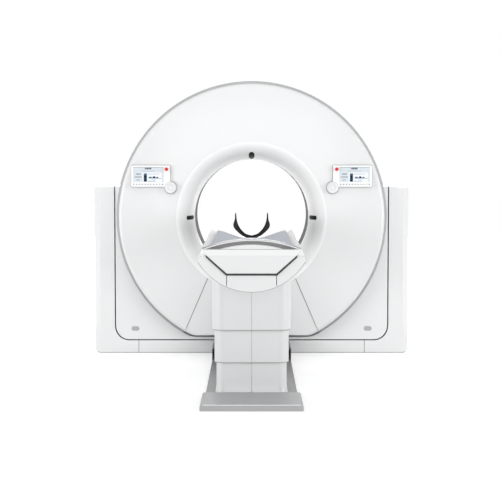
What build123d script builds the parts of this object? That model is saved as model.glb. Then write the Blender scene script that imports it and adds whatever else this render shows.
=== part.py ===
from build123d import *
import os
from math import atan2, cos, degrees, radians, sin, sqrt

os.makedirs("parts", exist_ok=True)

# A CT scanner in millimetres: a tilting gantry on its floor stand and the patient table in front.
# X is to the right, Y points from the table into the bore, and Z is up. The origin is on the floor
# straight under the isocentre, where the bore axis and the tilt axis cross.

# Driving dimensions: bore and round covers
bore_radius = 385
tunnel_reach = 200
tunnel_wall = 4
scan_band = 45
funnel_flare = 117
ellipse_pull = 0.5523
cover_band = 385
face_reach = 430
cover_edge_radius = 27
face_fall = 18
flat_rise = 79
flat_corner = 150
cover_wall = 4
access_angle = 35.5
access_slope = 0.43
trim_width = 17
trim_foot = 16
trim_depth = 42
trim_bevel = 6
fit_gap = 0.3
seam_gap = 3
louvre_length = 70
louvre_height = 9

# Tilting housing behind the round covers
housing_margin = 28
housing_half_depth = 330
housing_top = 205
barrel_inset = 7
sweep_margin = 3
belly_clearance = 31
housing_corner = 88
housing_wall = 5
plug_inset = 131
plug_rise = 135
plug_length = 53
plug_height = 30

# Floor stand
sweep_gap = 8
tower_width = 136
stand_wall = 4
tower_chamfer_x = 40
tower_chamfer_y = 60
tower_slope = 12
foot_corner = 33
seam_inset = 160
beam_cover_depth = 140
beam_inset = 62
beam_half = 32
beam_top = 60
floor_plate = 17
upright_gap = 25
upright_thick = 60
upright_foot = 220
upright_eye = 110
window_margin = 70
window_bridge = 50
bearing_radius = 80
bearing_width = 70
trunnion_radius = 60
shaft_clearance = 0.05
drive_shaft_radius = 40
gear_case = 36
gear_radius = 92
motor_y = 195
motor_drop = 121
motor_radius = 50
anchor_inset = 59
anchor_y = 262
anchor_hole_radius = 9

# Tilting frame and the rotor it carries
frame_back = 210
frame_plate = 60
frame_margin = 87
cheek_reach = 150
lightening_hole = 52
race_gap = 40
race_inner_band = 43
race_outer_band = 54
race_depth = 50
coil_height = 120
coil_width = 60
drum_face = 60
drum_plate = 30
drum_rim = 12
rotor_front = 190
track_count = 6
track_pitch = 22
module_count = 18

# Control panels on the front cover
panel_margin = 35
panel_rim = 86
panel_z = 274
panel_height = 148
panel_face = 442
panel_corner = 9
screen_inset = 61
screen_shift = 14
screen_z = 284
screen_height = 100
screen_thick = 3
knob_z = 198
knob_radius = 39
knob_bore = 21
knob_height = 11
knob_boss = 43
estop_inset = 27
estop_z = 320
estop_radius = 11.5
estop_stem = 6
estop_travel = 4
button_travel = 3
button_cap = 10 - button_travel - 1

# Patient table
column_y = -1770
column_half_depth = 350
column_half_width = 193
column_corner = 48
sleeve_wall = 4
sleeve_step = 11
sleeve_groove = 1.5
lower_top = 268
middle_bottom = 194
middle_top = 424
upper_bottom = 373
skirt_flares = (9.5, 5, 2, 0.5)
skirt_step = 18
tube_half = 110
tube_wall = 6

table_foot_y = -2730
table_head_y = -700
table_plate = 12
table_plate_half = 254
foot_cover_half = 271
foot_cover_height = 35
foot_cover_corner = 14
duct_half = 255
duct_height = 78
duct_front = -750

body_half_width = 270
body_top = 821
body_side = 791
body_bottom = 638
body_wall = 4
body_seam_x = 125.5
taper_start = -1300
taper_rise = 61
trough_top_half = 222.5
trough_floor_half = 124.5
trough_floor = 733.5
liner_gap = 1
liner_thick = 5
rail_x = 85
rail_width = 24
rail_bed = 715

# Cradle, its carriage and what lies on it
cradle_half_width = 255
cradle_top = 856
cradle_under = 752
cradle_inside = 790
cradle_lip = 7
cradle_head_y = -820
runner_length = 240
hull_length = 130
hull_crown = 23
hull_crown_half = 161
hull_front = 10
hoop_half = 251
hoop_lip = 29
hoop_rise = 48
hoop_band = 11
hoop_length = 90
mattress_half = 220
mattress_bevel = 18
mattress_top = 860
mattress_dip = 822
mattress_setback = 4
holder_half = 119
holder_tip_half = 102
holder_tip_y = -480
holder_bottom = 799
holder_height = 156
tongue_half = 60
tongue_length = 180
tongue_z = 765
tongue_thick = 12

# Values worked out from the driving dimensions
funnel_radius = bore_radius + funnel_flare
cover_radius = funnel_radius + cover_band
cover_flat = cover_radius - flat_rise
trim_radius = cover_radius + trim_width
housing_half_width = cover_radius + housing_margin
barrel_radius = cover_radius - barrel_inset
sweep_radius = cover_radius + sweep_margin
iso_height = sweep_radius + belly_clearance
stand_height = iso_height + housing_top
bore_axis = Axis((0, 0, iso_height), (0, 1, 0))
tilt_axis = Axis((0, 0, iso_height), (1, 0, 0))
bore_plane = Plane(origin=(0, 0, iso_height), x_dir=(0, 1, 0), z_dir=(1, 0, 0))
gap_half_width = housing_half_width + sweep_gap
stand_half_width = gap_half_width + tower_width
upright_x = gap_half_width + upright_gap
beam_seam_x = gap_half_width - seam_inset
anchor_x = stand_half_width - anchor_inset
frame_front = frame_back - frame_plate
frame_outer = cover_radius - frame_margin
race_front = drum_face + drum_plate
race_inner = bore_radius + race_gap
race_split = race_inner + race_inner_band
race_outer = race_split + race_outer_band
frame_inner = race_inner + 15
drum_outer = frame_outer - 20
unit_height = drum_outer - race_outer - 38
unit_radius = drum_outer - 60 - unit_height / 2
tube_radius = unit_radius + 18
knob_x = funnel_radius + panel_margin
estop_x = knob_x + estop_inset
panel_width = cover_radius - panel_rim - knob_x
panel_x = knob_x + panel_width / 2
screen_x = panel_x + screen_shift
screen_width = panel_width - screen_inset
sides = {"left": -1, "right": 1}
ends = {"front": -1, "rear": 1}


def facing(y, z=0):
    """Upright plane at depth y as seen from the front, with its origin at height z."""
    return Plane(origin=(0, y, z), x_dir=(1, 0, 0), z_dir=(0, -1, 0))


def save(piece, name):
    """Label a finished piece and write it."""
    piece.part.label = name
    export_step(piece.part, f"parts/{name}.step")


def ring(y_from, y_to, inner, outer, mode=Mode.ADD):
    """A plain ring turned about the bore axis."""
    with BuildSketch(bore_plane) as profile:
        with Locations(((y_from + y_to) / 2, (inner + outer) / 2)):
            Rectangle(y_to - y_from, outer - inner)
    revolve(profile.sketch, axis=bore_axis, mode=mode)


def block(x_from, x_to, y_from, y_to, z_from, z_to, mode=Mode.ADD):
    """A plain block between two corners."""
    with Locations(((x_from + x_to) / 2, (y_from + y_to) / 2, (z_from + z_to) / 2)):
        Box(x_to - x_from, y_to - y_from, z_to - z_from, mode=mode)


def rod(x, y, z, radius, length, direction, mode=Mode.ADD):
    """A cylinder that starts at a point and runs along a direction."""
    with BuildSketch(Plane(origin=(x, y, z), z_dir=direction)) as section:
        Circle(radius)
    extrude(section.sketch, amount=length, mode=mode)


# Floor stand

def swept_volume(shrink):
    """The space about the tilt axis that the housing's belly sweeps, smaller by shrink."""
    half = housing_half_width - shrink
    reach = sweep_radius - shrink
    corner = housing_corner - shrink
    with BuildPart() as volume:
        with BuildSketch(facing(0, iso_height)):
            with BuildLine():
                Line((-half, 0), (-half, corner - reach))
                ThreePointArc(
                    (-half, corner - reach),
                    (-half + corner * (1 - cos(radians(45))), -reach + corner * (1 - sin(radians(45)))),
                    (-half + corner, -reach),
                )
                Line((-half + corner, -reach), (half - corner, -reach))
                ThreePointArc(
                    (half - corner, -reach),
                    (half - corner * (1 - cos(radians(45))), -reach + corner * (1 - sin(radians(45)))),
                    (half, corner - reach),
                )
                Line((half, corner - reach), (half, 0))
                Line((half, 0), (-half, 0))
            make_face()
        revolve(axis=tilt_axis)
    return volume.part


def stand_volume(shrink):
    """Outer volume of the stand with its two towers, smaller by shrink on every visible wall."""
    half = stand_half_width - shrink
    depth = housing_half_depth - shrink
    with BuildPart() as volume:
        corner_x, corner_y = half - tower_chamfer_x, depth - tower_chamfer_y
        with BuildSketch(Plane.XY):
            Polygon((-corner_x, -depth), (corner_x, -depth), (half, -corner_y), (half, corner_y),
                    (corner_x, depth), (-corner_x, depth), (-half, corner_y), (-half, -corner_y),
                    align=None)
        extrude(amount=stand_height)
        with BuildSketch(facing(housing_half_depth)):
            with BuildLine():
                Polyline(
                    (-half, foot_corner),
                    (-half, stand_height - shrink - tower_slope),
                    (-gap_half_width, stand_height - shrink),
                    (gap_half_width, stand_height - shrink),
                    (half, stand_height - shrink - tower_slope),
                    (half, foot_corner),
                )
                RadiusArc((half, foot_corner), (half - foot_corner, 0), foot_corner)
                Line((half - foot_corner, 0), (foot_corner - half, 0))
                RadiusArc((foot_corner - half, 0), (-half, foot_corner), foot_corner)
            make_face()
        extrude(amount=2 * housing_half_depth, mode=Mode.INTERSECT)
        add(swept_volume(-sweep_gap - shrink), mode=Mode.SUBTRACT)
    return volume.part


stand_outer = stand_volume(0)
stand_inner = stand_volume(stand_wall)

for name, side in sides.items():
    with BuildPart() as tower_cover:
        add(stand_outer)
        add(stand_inner, mode=Mode.SUBTRACT)
        seam = side * beam_seam_x
        outside = side * (stand_half_width + 1)
        block(min(seam, outside), max(seam, outside), -500, 500, 0, stand_height, mode=Mode.INTERSECT)
        rod(side * (gap_half_width - 1), 0, iso_height, bearing_radius - 5, stand_wall + 2,
            (side, 0, 0), mode=Mode.SUBTRACT)
    save(tower_cover, f"{name}_tower_cover")

for name, end in ends.items():
    with BuildPart() as beam_cover:
        add(stand_outer)
        add(stand_inner, mode=Mode.SUBTRACT)
        seam = beam_seam_x - seam_gap
        near = end * (housing_half_depth - beam_cover_depth)
        far = end * housing_half_depth
        block(-seam, seam, min(near, far), max(near, far), 0, stand_height, mode=Mode.INTERSECT)
    save(beam_cover, f"{name}_beam_cover")

# The welded base: floor plate with a valley for the housing, two cross beams and the tilt uprights
with BuildPart() as base_frame:
    add(stand_volume(stand_wall))
    block(-stand_half_width, stand_half_width, -500, 500, 0, floor_plate, mode=Mode.INTERSECT)
    for end in ends.values():
        beam_y = end * (housing_half_depth - beam_inset)
        block(-gap_half_width, gap_half_width, beam_y - beam_half, beam_y + beam_half,
              floor_plate, beam_top)
    add(swept_volume(-sweep_gap - stand_wall - 1), mode=Mode.SUBTRACT)
    for side in sides.values():
        outer_x = side * (upright_x + upright_thick)
        with BuildSketch(Plane.YZ.offset(min(side * upright_x, outer_x))) as upright:
            with BuildLine():
                Polyline(
                    (-upright_eye, iso_height),
                    (-upright_foot, floor_plate),
                    (upright_foot, floor_plate),
                    (upright_eye, iso_height),
                )
                ThreePointArc(
                    (upright_eye, iso_height), (0, iso_height + upright_eye), (-upright_eye, iso_height)
                )
            make_face()
            with Locations((0, iso_height)):
                Circle(bearing_radius, mode=Mode.SUBTRACT)
            low = floor_plate + window_margin
            high = iso_height - bearing_radius - window_margin
            window = (high - low - window_bridge) / 2
            for middle in (low + window / 2, high - window / 2):
                with Locations((0, middle)):
                    RectangleRounded(2 * upright_eye - 70, window, 30, mode=Mode.SUBTRACT)
        extrude(upright.sketch, amount=upright_thick)
    with Locations((0, 0, floor_plate)):
        with GridLocations(2 * anchor_x, 2 * anchor_y, 2, 2):
            Hole(anchor_hole_radius)
save(base_frame, "base_frame")

with BuildPart() as tilt_bearings:
    for side in sides.values():
        start = side * (upright_x - 3)
        rod(start, 0, iso_height, bearing_radius, bearing_width, (side, 0, 0))
        rod(start, 0, iso_height, trunnion_radius, bearing_width, (side, 0, 0), mode=Mode.SUBTRACT)
save(tilt_bearings, "tilt_bearings")

# The tilt gearmotor hangs on the right upright and turns the end of the trunnion
gear_x = upright_x + bearing_width - 3
motor_z = iso_height - motor_drop
with BuildPart() as tilt_gearmotor:
    with BuildSketch(Plane.YZ.offset(gear_x)) as case:
        with Locations((0, iso_height)):
            Circle(gear_radius)
        with Locations((motor_y, motor_z)):
            Circle(motor_radius + 10)
        make_hull()
        with Locations((0, iso_height)):
            Circle(drive_shaft_radius + shaft_clearance, mode=Mode.SUBTRACT)
    extrude(case.sketch, amount=gear_case)
    fillet(tilt_gearmotor.faces().sort_by(Axis.X)[-1].outer_wire().edges(), 6)
    rod(gear_x, motor_y, motor_z, motor_radius, gear_x - gap_half_width - stand_wall - 6, (-1, 0, 0))
    for turn in range(24):
        angle = radians(15 * turn)
        rib_y = motor_y + (motor_radius + 1) * cos(angle)
        rib_z = motor_z + (motor_radius + 1) * sin(angle)
        if rib_y > 165 + 0.12 * (iso_height - rib_z):
            rod(gear_x - 5, rib_y, rib_z, 2.5, 55, (-1, 0, 0))
save(tilt_gearmotor, "tilt_gearmotor")


# Tilting gantry

def housing_volume(shrink):
    """Outer volume of the tilting housing: a box with a swept belly under a round barrel."""
    half = housing_half_width - shrink
    depth = housing_half_depth - shrink
    with BuildPart() as volume:
        block(-half, half, -depth, depth, 0, iso_height + housing_top - shrink)
        add(swept_volume(shrink), mode=Mode.INTERSECT)
        with BuildSketch(facing(depth, iso_height)) as barrel:
            Circle(barrel_radius - shrink)
            with Locations((0, -barrel_radius)):
                Rectangle(2 * barrel_radius, 2 * barrel_radius, mode=Mode.SUBTRACT)
        extrude(barrel.sketch, amount=2 * depth)
    return volume.part


def disc_outline(radius, flat, corner):
    """Outline of a round cover: a circle with a flat foot and softened corners."""
    with BuildSketch() as outline:
        Circle(radius)
        with Locations((0, -flat - radius)):
            Rectangle(4 * radius, 2 * radius, mode=Mode.SUBTRACT)
        fillet(outline.vertices().group_by(Axis.Y)[0], corner)
    return outline.sketch


def disc_volume(end, shrink):
    """Solid of a round cover with its domed face, softened edge and flat bottom."""
    rim = cover_radius - shrink
    edge_y = face_reach - face_fall - cover_edge_radius
    edge_r = cover_radius - cover_edge_radius
    edge = cover_edge_radius - shrink
    face = face_reach - shrink
    with BuildPart() as volume:
        with BuildSketch(bore_plane) as profile:
            with BuildLine():
                Polyline((end * face, funnel_radius), (end * face, 0), (end * housing_half_depth, 0),
                         (end * housing_half_depth, rim), (end * edge_y, rim))
                ThreePointArc(
                    (end * edge_y, rim),
                    (end * (edge_y + edge * sin(radians(45))), edge_r + edge * cos(radians(45))),
                    (end * (edge_y + edge), edge_r),
                )
                ThreePointArc(
                    (end * (edge_y + edge), edge_r),
                    (end * (face - face_fall / 4), (edge_r + funnel_radius) / 2),
                    (end * face, funnel_radius),
                )
            make_face()
        revolve(profile.sketch, axis=bore_axis)
        with BuildSketch(facing(face_reach + 1, iso_height)) as outline:
            add(disc_outline(cover_radius - shrink, cover_flat - trim_foot - shrink, flat_corner))
        extrude(outline.sketch, amount=2 * face_reach + 2, mode=Mode.INTERSECT)
        with BuildSketch(Plane.YZ) as clearance:
            with Locations((0, iso_height - cover_flat)):
                Rectangle(2 * face_reach + 100, 300)
            with Locations((0, iso_height)):
                Circle(sweep_radius - shrink, mode=Mode.SUBTRACT)
        extrude(clearance.sketch, amount=cover_radius, both=True, mode=Mode.SUBTRACT)
    return volume.part


def cover_shell(end):
    """Moulded skin of a round cover, open at the back and at the funnel."""
    with BuildPart() as shell:
        add(disc_volume(end, 0))
        add(disc_volume(end, cover_wall), mode=Mode.SUBTRACT)
        low, high = sorted((end * (housing_half_depth - 1), end * (face_reach + 1)))
        ring(low, high, 0, funnel_radius, mode=Mode.SUBTRACT)
    return shell.part


def wedge(grow):
    """Prism of the lower access panel, wider by grow on each flank."""
    top = (funnel_radius - 3) * cos(radians(access_angle))
    bottom = cover_flat + 9
    half_top = (funnel_radius - 3) * sin(radians(access_angle)) + grow
    half_bottom = half_top + access_slope * (bottom - top)
    with BuildPart() as prism:
        with BuildSketch(facing(-housing_half_depth, iso_height)):
            Polygon((-half_top, 0), (half_top, 0), (half_top, -top), (half_bottom, -bottom),
                    (-half_bottom, -bottom), (-half_top, -top), align=None)
        extrude(amount=face_reach)
    return prism.part


def panel_outline(grow):
    """Outlines of both control panels: a rounded plate with a lobe for the knob."""
    with BuildSketch() as outline:
        for side in sides.values():
            with Locations((side * panel_x, panel_z)):
                RectangleRounded(panel_width + 2 * grow, panel_height + 2 * grow, panel_corner + grow)
            with Locations((side * knob_x, knob_z)):
                Circle(knob_boss + grow)
    return outline.sketch


frame_z = iso_height
with BuildPart() as tilt_frame:
    ring(frame_front, frame_back, frame_inner, frame_outer)
    for side in sides.values():
        inner_x, outer_x = side * (frame_outer - 40), side * (housing_half_width - housing_wall)
        low, high = min(inner_x, outer_x), max(inner_x, outer_x)
        block(low, high, frame_front, frame_back, frame_z - cheek_reach, frame_z + cheek_reach)
        cheek_x = side * (frame_outer + 20)
        block(min(cheek_x, outer_x), max(cheek_x, outer_x), -cheek_reach, frame_back,
              frame_z - cheek_reach, frame_z + cheek_reach)
        rod(outer_x, 0, frame_z, trunnion_radius - shaft_clearance,
            upright_x + bearing_width - 4 - abs(outer_x), (side, 0, 0))
    rod(gear_x - 1, 0, frame_z, drive_shaft_radius, gear_case - 4, (1, 0, 0))
    with BuildSketch(facing(frame_back, iso_height)) as holes:
        with PolarLocations(frame_outer - 120, 12, start_angle=15):
            Circle(lightening_hole)
    extrude(holes.sketch, amount=frame_plate, mode=Mode.SUBTRACT)
save(tilt_frame, "tilt_frame")

with BuildPart() as bearing_outer_ring:
    ring(frame_front - race_depth, frame_front, race_split + shaft_clearance, race_outer)
save(bearing_outer_ring, "bearing_outer_ring")

with BuildPart() as drive_stator:
    for turn in range(24):
        with BuildSketch(facing(frame_front, iso_height)) as coil:
            with Locations(Location((0, 0), 15 * turn)):
                with Locations((0, race_outer + 68)):
                    RectangleRounded(coil_height, coil_width, 12)
        extrude(coil.sketch, amount=28)
    ring(frame_front - 12, frame_front, race_outer + 43, race_outer + 93)
save(drive_stator, "drive_stator")

# The housing shell: one hollow moulding, open to both round covers
with BuildPart() as housing_shell:
    add(housing_volume(0))
    add(housing_volume(housing_wall), mode=Mode.SUBTRACT)
    with BuildSketch(facing(housing_half_depth + 1, iso_height)) as mouth:
        Circle(cover_radius - 25)
        with Locations((0, -cover_flat - 85)):
            Rectangle(2 * cover_radius, 200, mode=Mode.SUBTRACT)
    extrude(mouth.sketch, amount=2 * housing_half_depth + 2, mode=Mode.SUBTRACT)
    for side in sides.values():
        rod(side * (housing_half_width - 20), 0, iso_height, trunnion_radius, 40,
            (side, 0, 0), mode=Mode.SUBTRACT)
    plug_x, plug_z = housing_half_width - plug_inset, sweep_radius - plug_rise
    plug_holes = facing(housing_half_depth + 1, iso_height)
    with BuildSketch(plug_holes) as plugs:
        with Locations((-plug_x, -plug_z), (plug_x, -plug_z)):
            SlotOverall(plug_length, plug_height)
    extrude(plugs.sketch, amount=2 * housing_half_depth + 2, mode=Mode.SUBTRACT)
save(housing_shell, "housing_shell")

# Oval plugs over the service bolts in the housing's lower corners
with BuildPart() as corner_plugs:
    for end in ends.values():
        with BuildSketch(facing(end * (housing_half_depth - 2) + 3, iso_height)) as plugs:
            with Locations((-plug_x, -plug_z), (plug_x, -plug_z)):
                SlotOverall(plug_length - 2 * fit_gap, plug_height - 2 * fit_gap)
        extrude(plugs.sketch, amount=6)
save(corner_plugs, "corner_plugs")

for name, end in ends.items():
    with BuildPart() as trim:
        with BuildSketch(facing(end * housing_half_depth, iso_height)) as band:
            add(disc_outline(trim_radius, cover_flat, flat_corner + trim_width))
        extrude(band.sketch, amount=-end * trim_depth)
        outer_edges = trim.faces().sort_by(Axis.Y)[0 if end < 0 else -1].edges()
        chamfer(outer_edges, trim_bevel)
        with BuildSketch(facing(end * housing_half_depth, iso_height)) as hollow:
            add(disc_outline(cover_radius, cover_flat - trim_foot, flat_corner))
        extrude(hollow.sketch, amount=-end * trim_depth, mode=Mode.SUBTRACT)
    save(trim, f"{name}_trim_ring")

# Front cover: the main moulding with openings for the panels, and the lower access panel
with BuildPart() as front_cover:
    add(cover_shell(-1))
    add(wedge(seam_gap), mode=Mode.SUBTRACT)
    with BuildSketch(facing(-housing_half_depth, iso_height)) as openings:
        add(panel_outline(fit_gap))
    extrude(openings.sketch, amount=face_reach, mode=Mode.SUBTRACT)
save(front_cover, "front_cover")

with BuildPart() as access_panel:
    add(cover_shell(-1))
    add(wedge(0), mode=Mode.INTERSECT)
save(access_panel, "access_panel")

with BuildPart() as rear_cover:
    add(cover_shell(1))
    vents = facing(face_reach + 1, iso_height - (funnel_radius + cover_flat) / 2 + 30)
    with BuildSketch(vents) as louvres:
        with GridLocations(90, 22, 7, 5):
            SlotOverall(louvre_length, louvre_height)
    extrude(louvres.sketch, amount=60, mode=Mode.SUBTRACT)
save(rear_cover, "rear_cover")


def flare(end, offset, thickness, backwards):
    """Elliptical curve of the funnel, offset outwards at the tunnel and thickness behind the lip."""
    depth = face_reach + 3 - thickness - tunnel_reach
    rise = funnel_radius - 5 - bore_radius - offset
    points = [(tunnel_reach, bore_radius + offset),
              (tunnel_reach + ellipse_pull * depth, bore_radius + offset),
              (tunnel_reach + depth, bore_radius + offset + (1 - ellipse_pull) * rise),
              (tunnel_reach + depth, bore_radius + offset + rise)]
    points = [(end * y, r) for y, r in points]
    return Bezier(*(reversed(points) if backwards else points))


def funnel_shell(end, thickness, lift=0):
    """Flared mouth from the tunnel to the lip, lift millimetres proud of the moulded surface."""
    hook = [(face_reach + 3, funnel_radius - fit_gap), (face_reach - 12, funnel_radius - fit_gap),
            (face_reach - 12, funnel_radius - 5)]
    with BuildPart() as shell:
        with BuildSketch(bore_plane) as profile:
            with BuildLine():
                face = flare(end, -lift, 0, False)
                back = flare(end, thickness, thickness, True)
                Polyline(face @ 1, *[(end * y, r) for y, r in hook], back @ 0)
                Line(back @ 1, face @ 0)
            make_face()
        revolve(profile.sketch, axis=bore_axis)
    return shell.part


def laser_outline(grow):
    """Outlines of the three laser windows: above, left and right of the bore."""
    with BuildSketch() as outline:
        with Locations((0, bore_radius + 26)):
            SlotOverall(46 + 2 * grow, 38 + 2 * grow, rotation=90)
        for side in sides.values():
            with Locations((side * (bore_radius + 27), -5)):
                RectangleRounded(42 + 2 * grow, 27 + 2 * grow, 8)
    return outline.sketch


for name, end in ends.items():
    with BuildPart() as funnel:
        add(funnel_shell(end, tunnel_wall))
        if end < 0:
            with BuildSketch(facing(0, iso_height)) as openings:
                add(laser_outline(fit_gap))
            extrude(openings.sketch, amount=face_reach + 20, mode=Mode.SUBTRACT)
    save(funnel, f"{name}_funnel")

with BuildPart() as laser_windows:
    add(funnel_shell(-1, tunnel_wall, lift=0.6))
    with BuildSketch(facing(0, iso_height)) as outlines:
        add(laser_outline(0))
    extrude(outlines.sketch, amount=face_reach + 20, mode=Mode.INTERSECT)
save(laser_windows, "laser_windows")

# The tunnel wall between the funnels, with the clear scan band in the middle
with BuildPart() as scan_window:
    ring(-tunnel_reach, tunnel_reach, bore_radius, bore_radius + tunnel_wall)
    ring(-scan_band, scan_band, bore_radius + 2.5, bore_radius + tunnel_wall + 1, mode=Mode.SUBTRACT)
save(scan_window, "scan_window")

# Control panels, screens, knobs and emergency stops
for name, side in sides.items():
    with BuildPart() as panel:
        with BuildSketch(facing(-face_reach + 60, iso_height)) as plate:
            add(panel_outline(0))
            with Locations((-side * panel_x, panel_z)):
                Rectangle(2 * panel_x, 3 * panel_height, mode=Mode.SUBTRACT)
        extrude(plate.sketch, amount=panel_face - face_reach + 60)
        front = panel.faces().sort_by(Axis.Y)[0]
        fillet(front.outer_wire().edges(), 3)
        with BuildSketch(facing(-panel_face, iso_height)) as recess:
            with Locations((side * screen_x, screen_z)):
                RectangleRounded(screen_width, screen_height, 3)
        extrude(recess.sketch, amount=-screen_thick, mode=Mode.SUBTRACT)
        with BuildSketch(facing(-panel_face, iso_height)) as bores:
            with Locations((side * knob_x, knob_z)):
                Circle(knob_bore - 3 + shaft_clearance)
            with Locations((side * estop_x, estop_z)):
                Circle(estop_stem + shaft_clearance)
        extrude(bores.sketch, amount=-30, mode=Mode.SUBTRACT)
    save(panel, f"{name}_panel")

    with BuildPart() as knob:
        with BuildSketch(Plane(origin=(side * knob_x, -panel_face, iso_height + knob_z),
                               x_dir=(0, 1, 0), z_dir=(1, 0, 0))) as profile:
            with BuildLine():
                Polyline((-0.5, knob_bore + shaft_clearance), (-0.5, knob_radius),
                         (-knob_height + 4, knob_radius))
                ThreePointArc((-knob_height + 4, knob_radius),
                              (-knob_height + 1.2, knob_radius - 1.2), (-knob_height, knob_radius - 4))
                Polyline((-knob_height, knob_radius - 4), (-knob_height + 1, knob_bore + 2),
                         (-knob_height + 2, knob_bore + shaft_clearance),
                         (-0.5, knob_bore + shaft_clearance))
            make_face()
        knob_axis = Axis((side * knob_x, -panel_face, iso_height + knob_z), (0, 1, 0))
        revolve(profile.sketch, axis=knob_axis)
    save(knob, f"{name}_knob")

    with BuildPart() as knob_button:
        cap_y = -panel_face - knob_height + 1
        rod(side * knob_x, cap_y, iso_height + knob_z, knob_bore, button_cap, (0, 1, 0))
        rod(side * knob_x, cap_y + 1, iso_height + knob_z, knob_bore - 3, 28, (0, 1, 0))
        fillet(knob_button.faces().sort_by(Axis.Y)[0].edges(), 1.5)
    save(knob_button, f"{name}_knob_button")

    with BuildPart() as estop:
        with BuildSketch(Plane(origin=(side * estop_x, -panel_face, iso_height + estop_z),
                               x_dir=(0, 1, 0), z_dir=(1, 0, 0))) as profile:
            with BuildLine():
                Polyline((24, 0), (24, estop_stem), (-estop_travel - 1, estop_stem),
                         (-estop_travel - 1, estop_radius), (-estop_travel - 11, estop_radius),
                         (-estop_travel - 11, 0), (24, 0))
            make_face()
        stop_axis = Axis((side * estop_x, -panel_face, iso_height + estop_z), (0, 1, 0))
        revolve(profile.sketch, axis=stop_axis)
        fillet(estop.faces().sort_by(Axis.Y)[0].edges(), 4)
    save(estop, f"{name}_emergency_stop")

with BuildPart() as screens:
    for side in sides.values():
        with BuildSketch(facing(-panel_face + screen_thick, iso_height)) as glass:
            with Locations((side * screen_x, screen_z)):
                RectangleRounded(screen_width, screen_height, 3)
        extrude(glass.sketch, amount=screen_thick - 0.4)
save(screens, "screens")

# Rotor: everything that spins about the patient
rotor_plane = facing(drum_face, iso_height)
with BuildPart() as rotor_drum:
    ring(drum_face, drum_face + drum_plate, race_inner - 8, drum_outer)
    ring(-drum_face, drum_face, drum_outer - drum_rim, drum_outer)
    with BuildSketch(facing(drum_face + drum_plate, iso_height)) as holes:
        with PolarLocations(drum_outer - 125, 8, start_angle=22.5):
            Circle(34)
    extrude(holes.sketch, amount=drum_plate, mode=Mode.SUBTRACT)
save(rotor_drum, "rotor_drum")

with BuildPart() as bearing_inner_ring:
    ring(race_front, frame_front - 6, race_inner, race_split)
save(bearing_inner_ring, "bearing_inner_ring")

with BuildPart() as slip_ring:
    ring(frame_front - 6, frame_back + 15, race_inner, frame_inner - 4)
    track_start = frame_inner + 20
    ring(frame_back + 15, frame_back + 35, race_inner, track_start + (track_count + 0.4) * track_pitch)
    for track in range(track_count):
        groove = track_start + track_pitch * track
        ring(frame_back + 32, frame_back + 36, groove, groove + 10, mode=Mode.SUBTRACT)
save(slip_ring, "slip_ring")

with BuildPart() as brush_block:
    for turn in (130, 230):
        with BuildSketch(facing(frame_back + 35.5 + 45, iso_height)) as head:
            with Locations(Location((0, 0), turn)):
                with Locations((frame_inner + 110, 0)):
                    RectangleRounded(190, 90, 8)
        extrude(head.sketch, amount=45)
        with BuildSketch(facing(frame_back + 40, iso_height)) as foot:
            with Locations(Location((0, 0), turn)):
                with Locations((frame_inner + 188, 0)):
                    Rectangle(34, 90)
        extrude(foot.sketch, amount=40)
save(brush_block, "brush_block")

with BuildPart() as x_ray_tube:
    with BuildSketch(rotor_plane) as body:
        with Locations((0, tube_radius)):
            Circle(unit_height / 2 + 2)
        with Locations((0, tube_radius - unit_height / 2 - 8)):
            Rectangle(130, 60)
    extrude(body.sketch, amount=drum_face + 60)
    with BuildSketch(rotor_plane) as case:
        with Locations((0, tube_radius)):
            Circle(unit_height / 2 - 12)
    extrude(case.sketch, amount=drum_face + rotor_front)
    with BuildSketch(rotor_plane) as collimator:
        with Locations((0, race_inner + 37)):
            Trapezoid(200, 50, 75)
    extrude(collimator.sketch, amount=drum_face + 55)
save(x_ray_tube, "x_ray_tube")


def radial_box(angle, radius, width, height, depth, corner=10):
    """A case standing on the drum's face, at an angle from the top and centred at a radius."""
    with BuildSketch(rotor_plane) as case:
        with Locations(Location((0, 0), -angle)):
            with Locations((0, radius)):
                RectangleRounded(width, height, corner)
    extrude(case.sketch, amount=depth)


with BuildPart() as heat_exchanger:
    radial_box(-52, unit_radius, 300, unit_height - 10, rotor_front)
    for fin in range(13):
        with BuildSketch(facing(drum_face - rotor_front, iso_height)) as slot:
            with Locations(Location((0, 0), 52)):
                with Locations((-132 + 22 * fin, unit_radius)):
                    Rectangle(10, unit_height - 40)
        extrude(slot.sketch, amount=-60, mode=Mode.SUBTRACT)
save(heat_exchanger, "heat_exchanger")

with BuildPart() as high_voltage_generator:
    radial_box(55, unit_radius, 1.5 * unit_height, unit_height, rotor_front + 10)
    for pole in (42, 68):
        angle = radians(90 - pole)
        pole_radius = unit_radius - 10
        rod(pole_radius * cos(angle), drum_face - rotor_front - 10,
            iso_height + pole_radius * sin(angle), 34, 30, (0, -1, 0))
save(high_voltage_generator, "high_voltage_generator")

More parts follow.
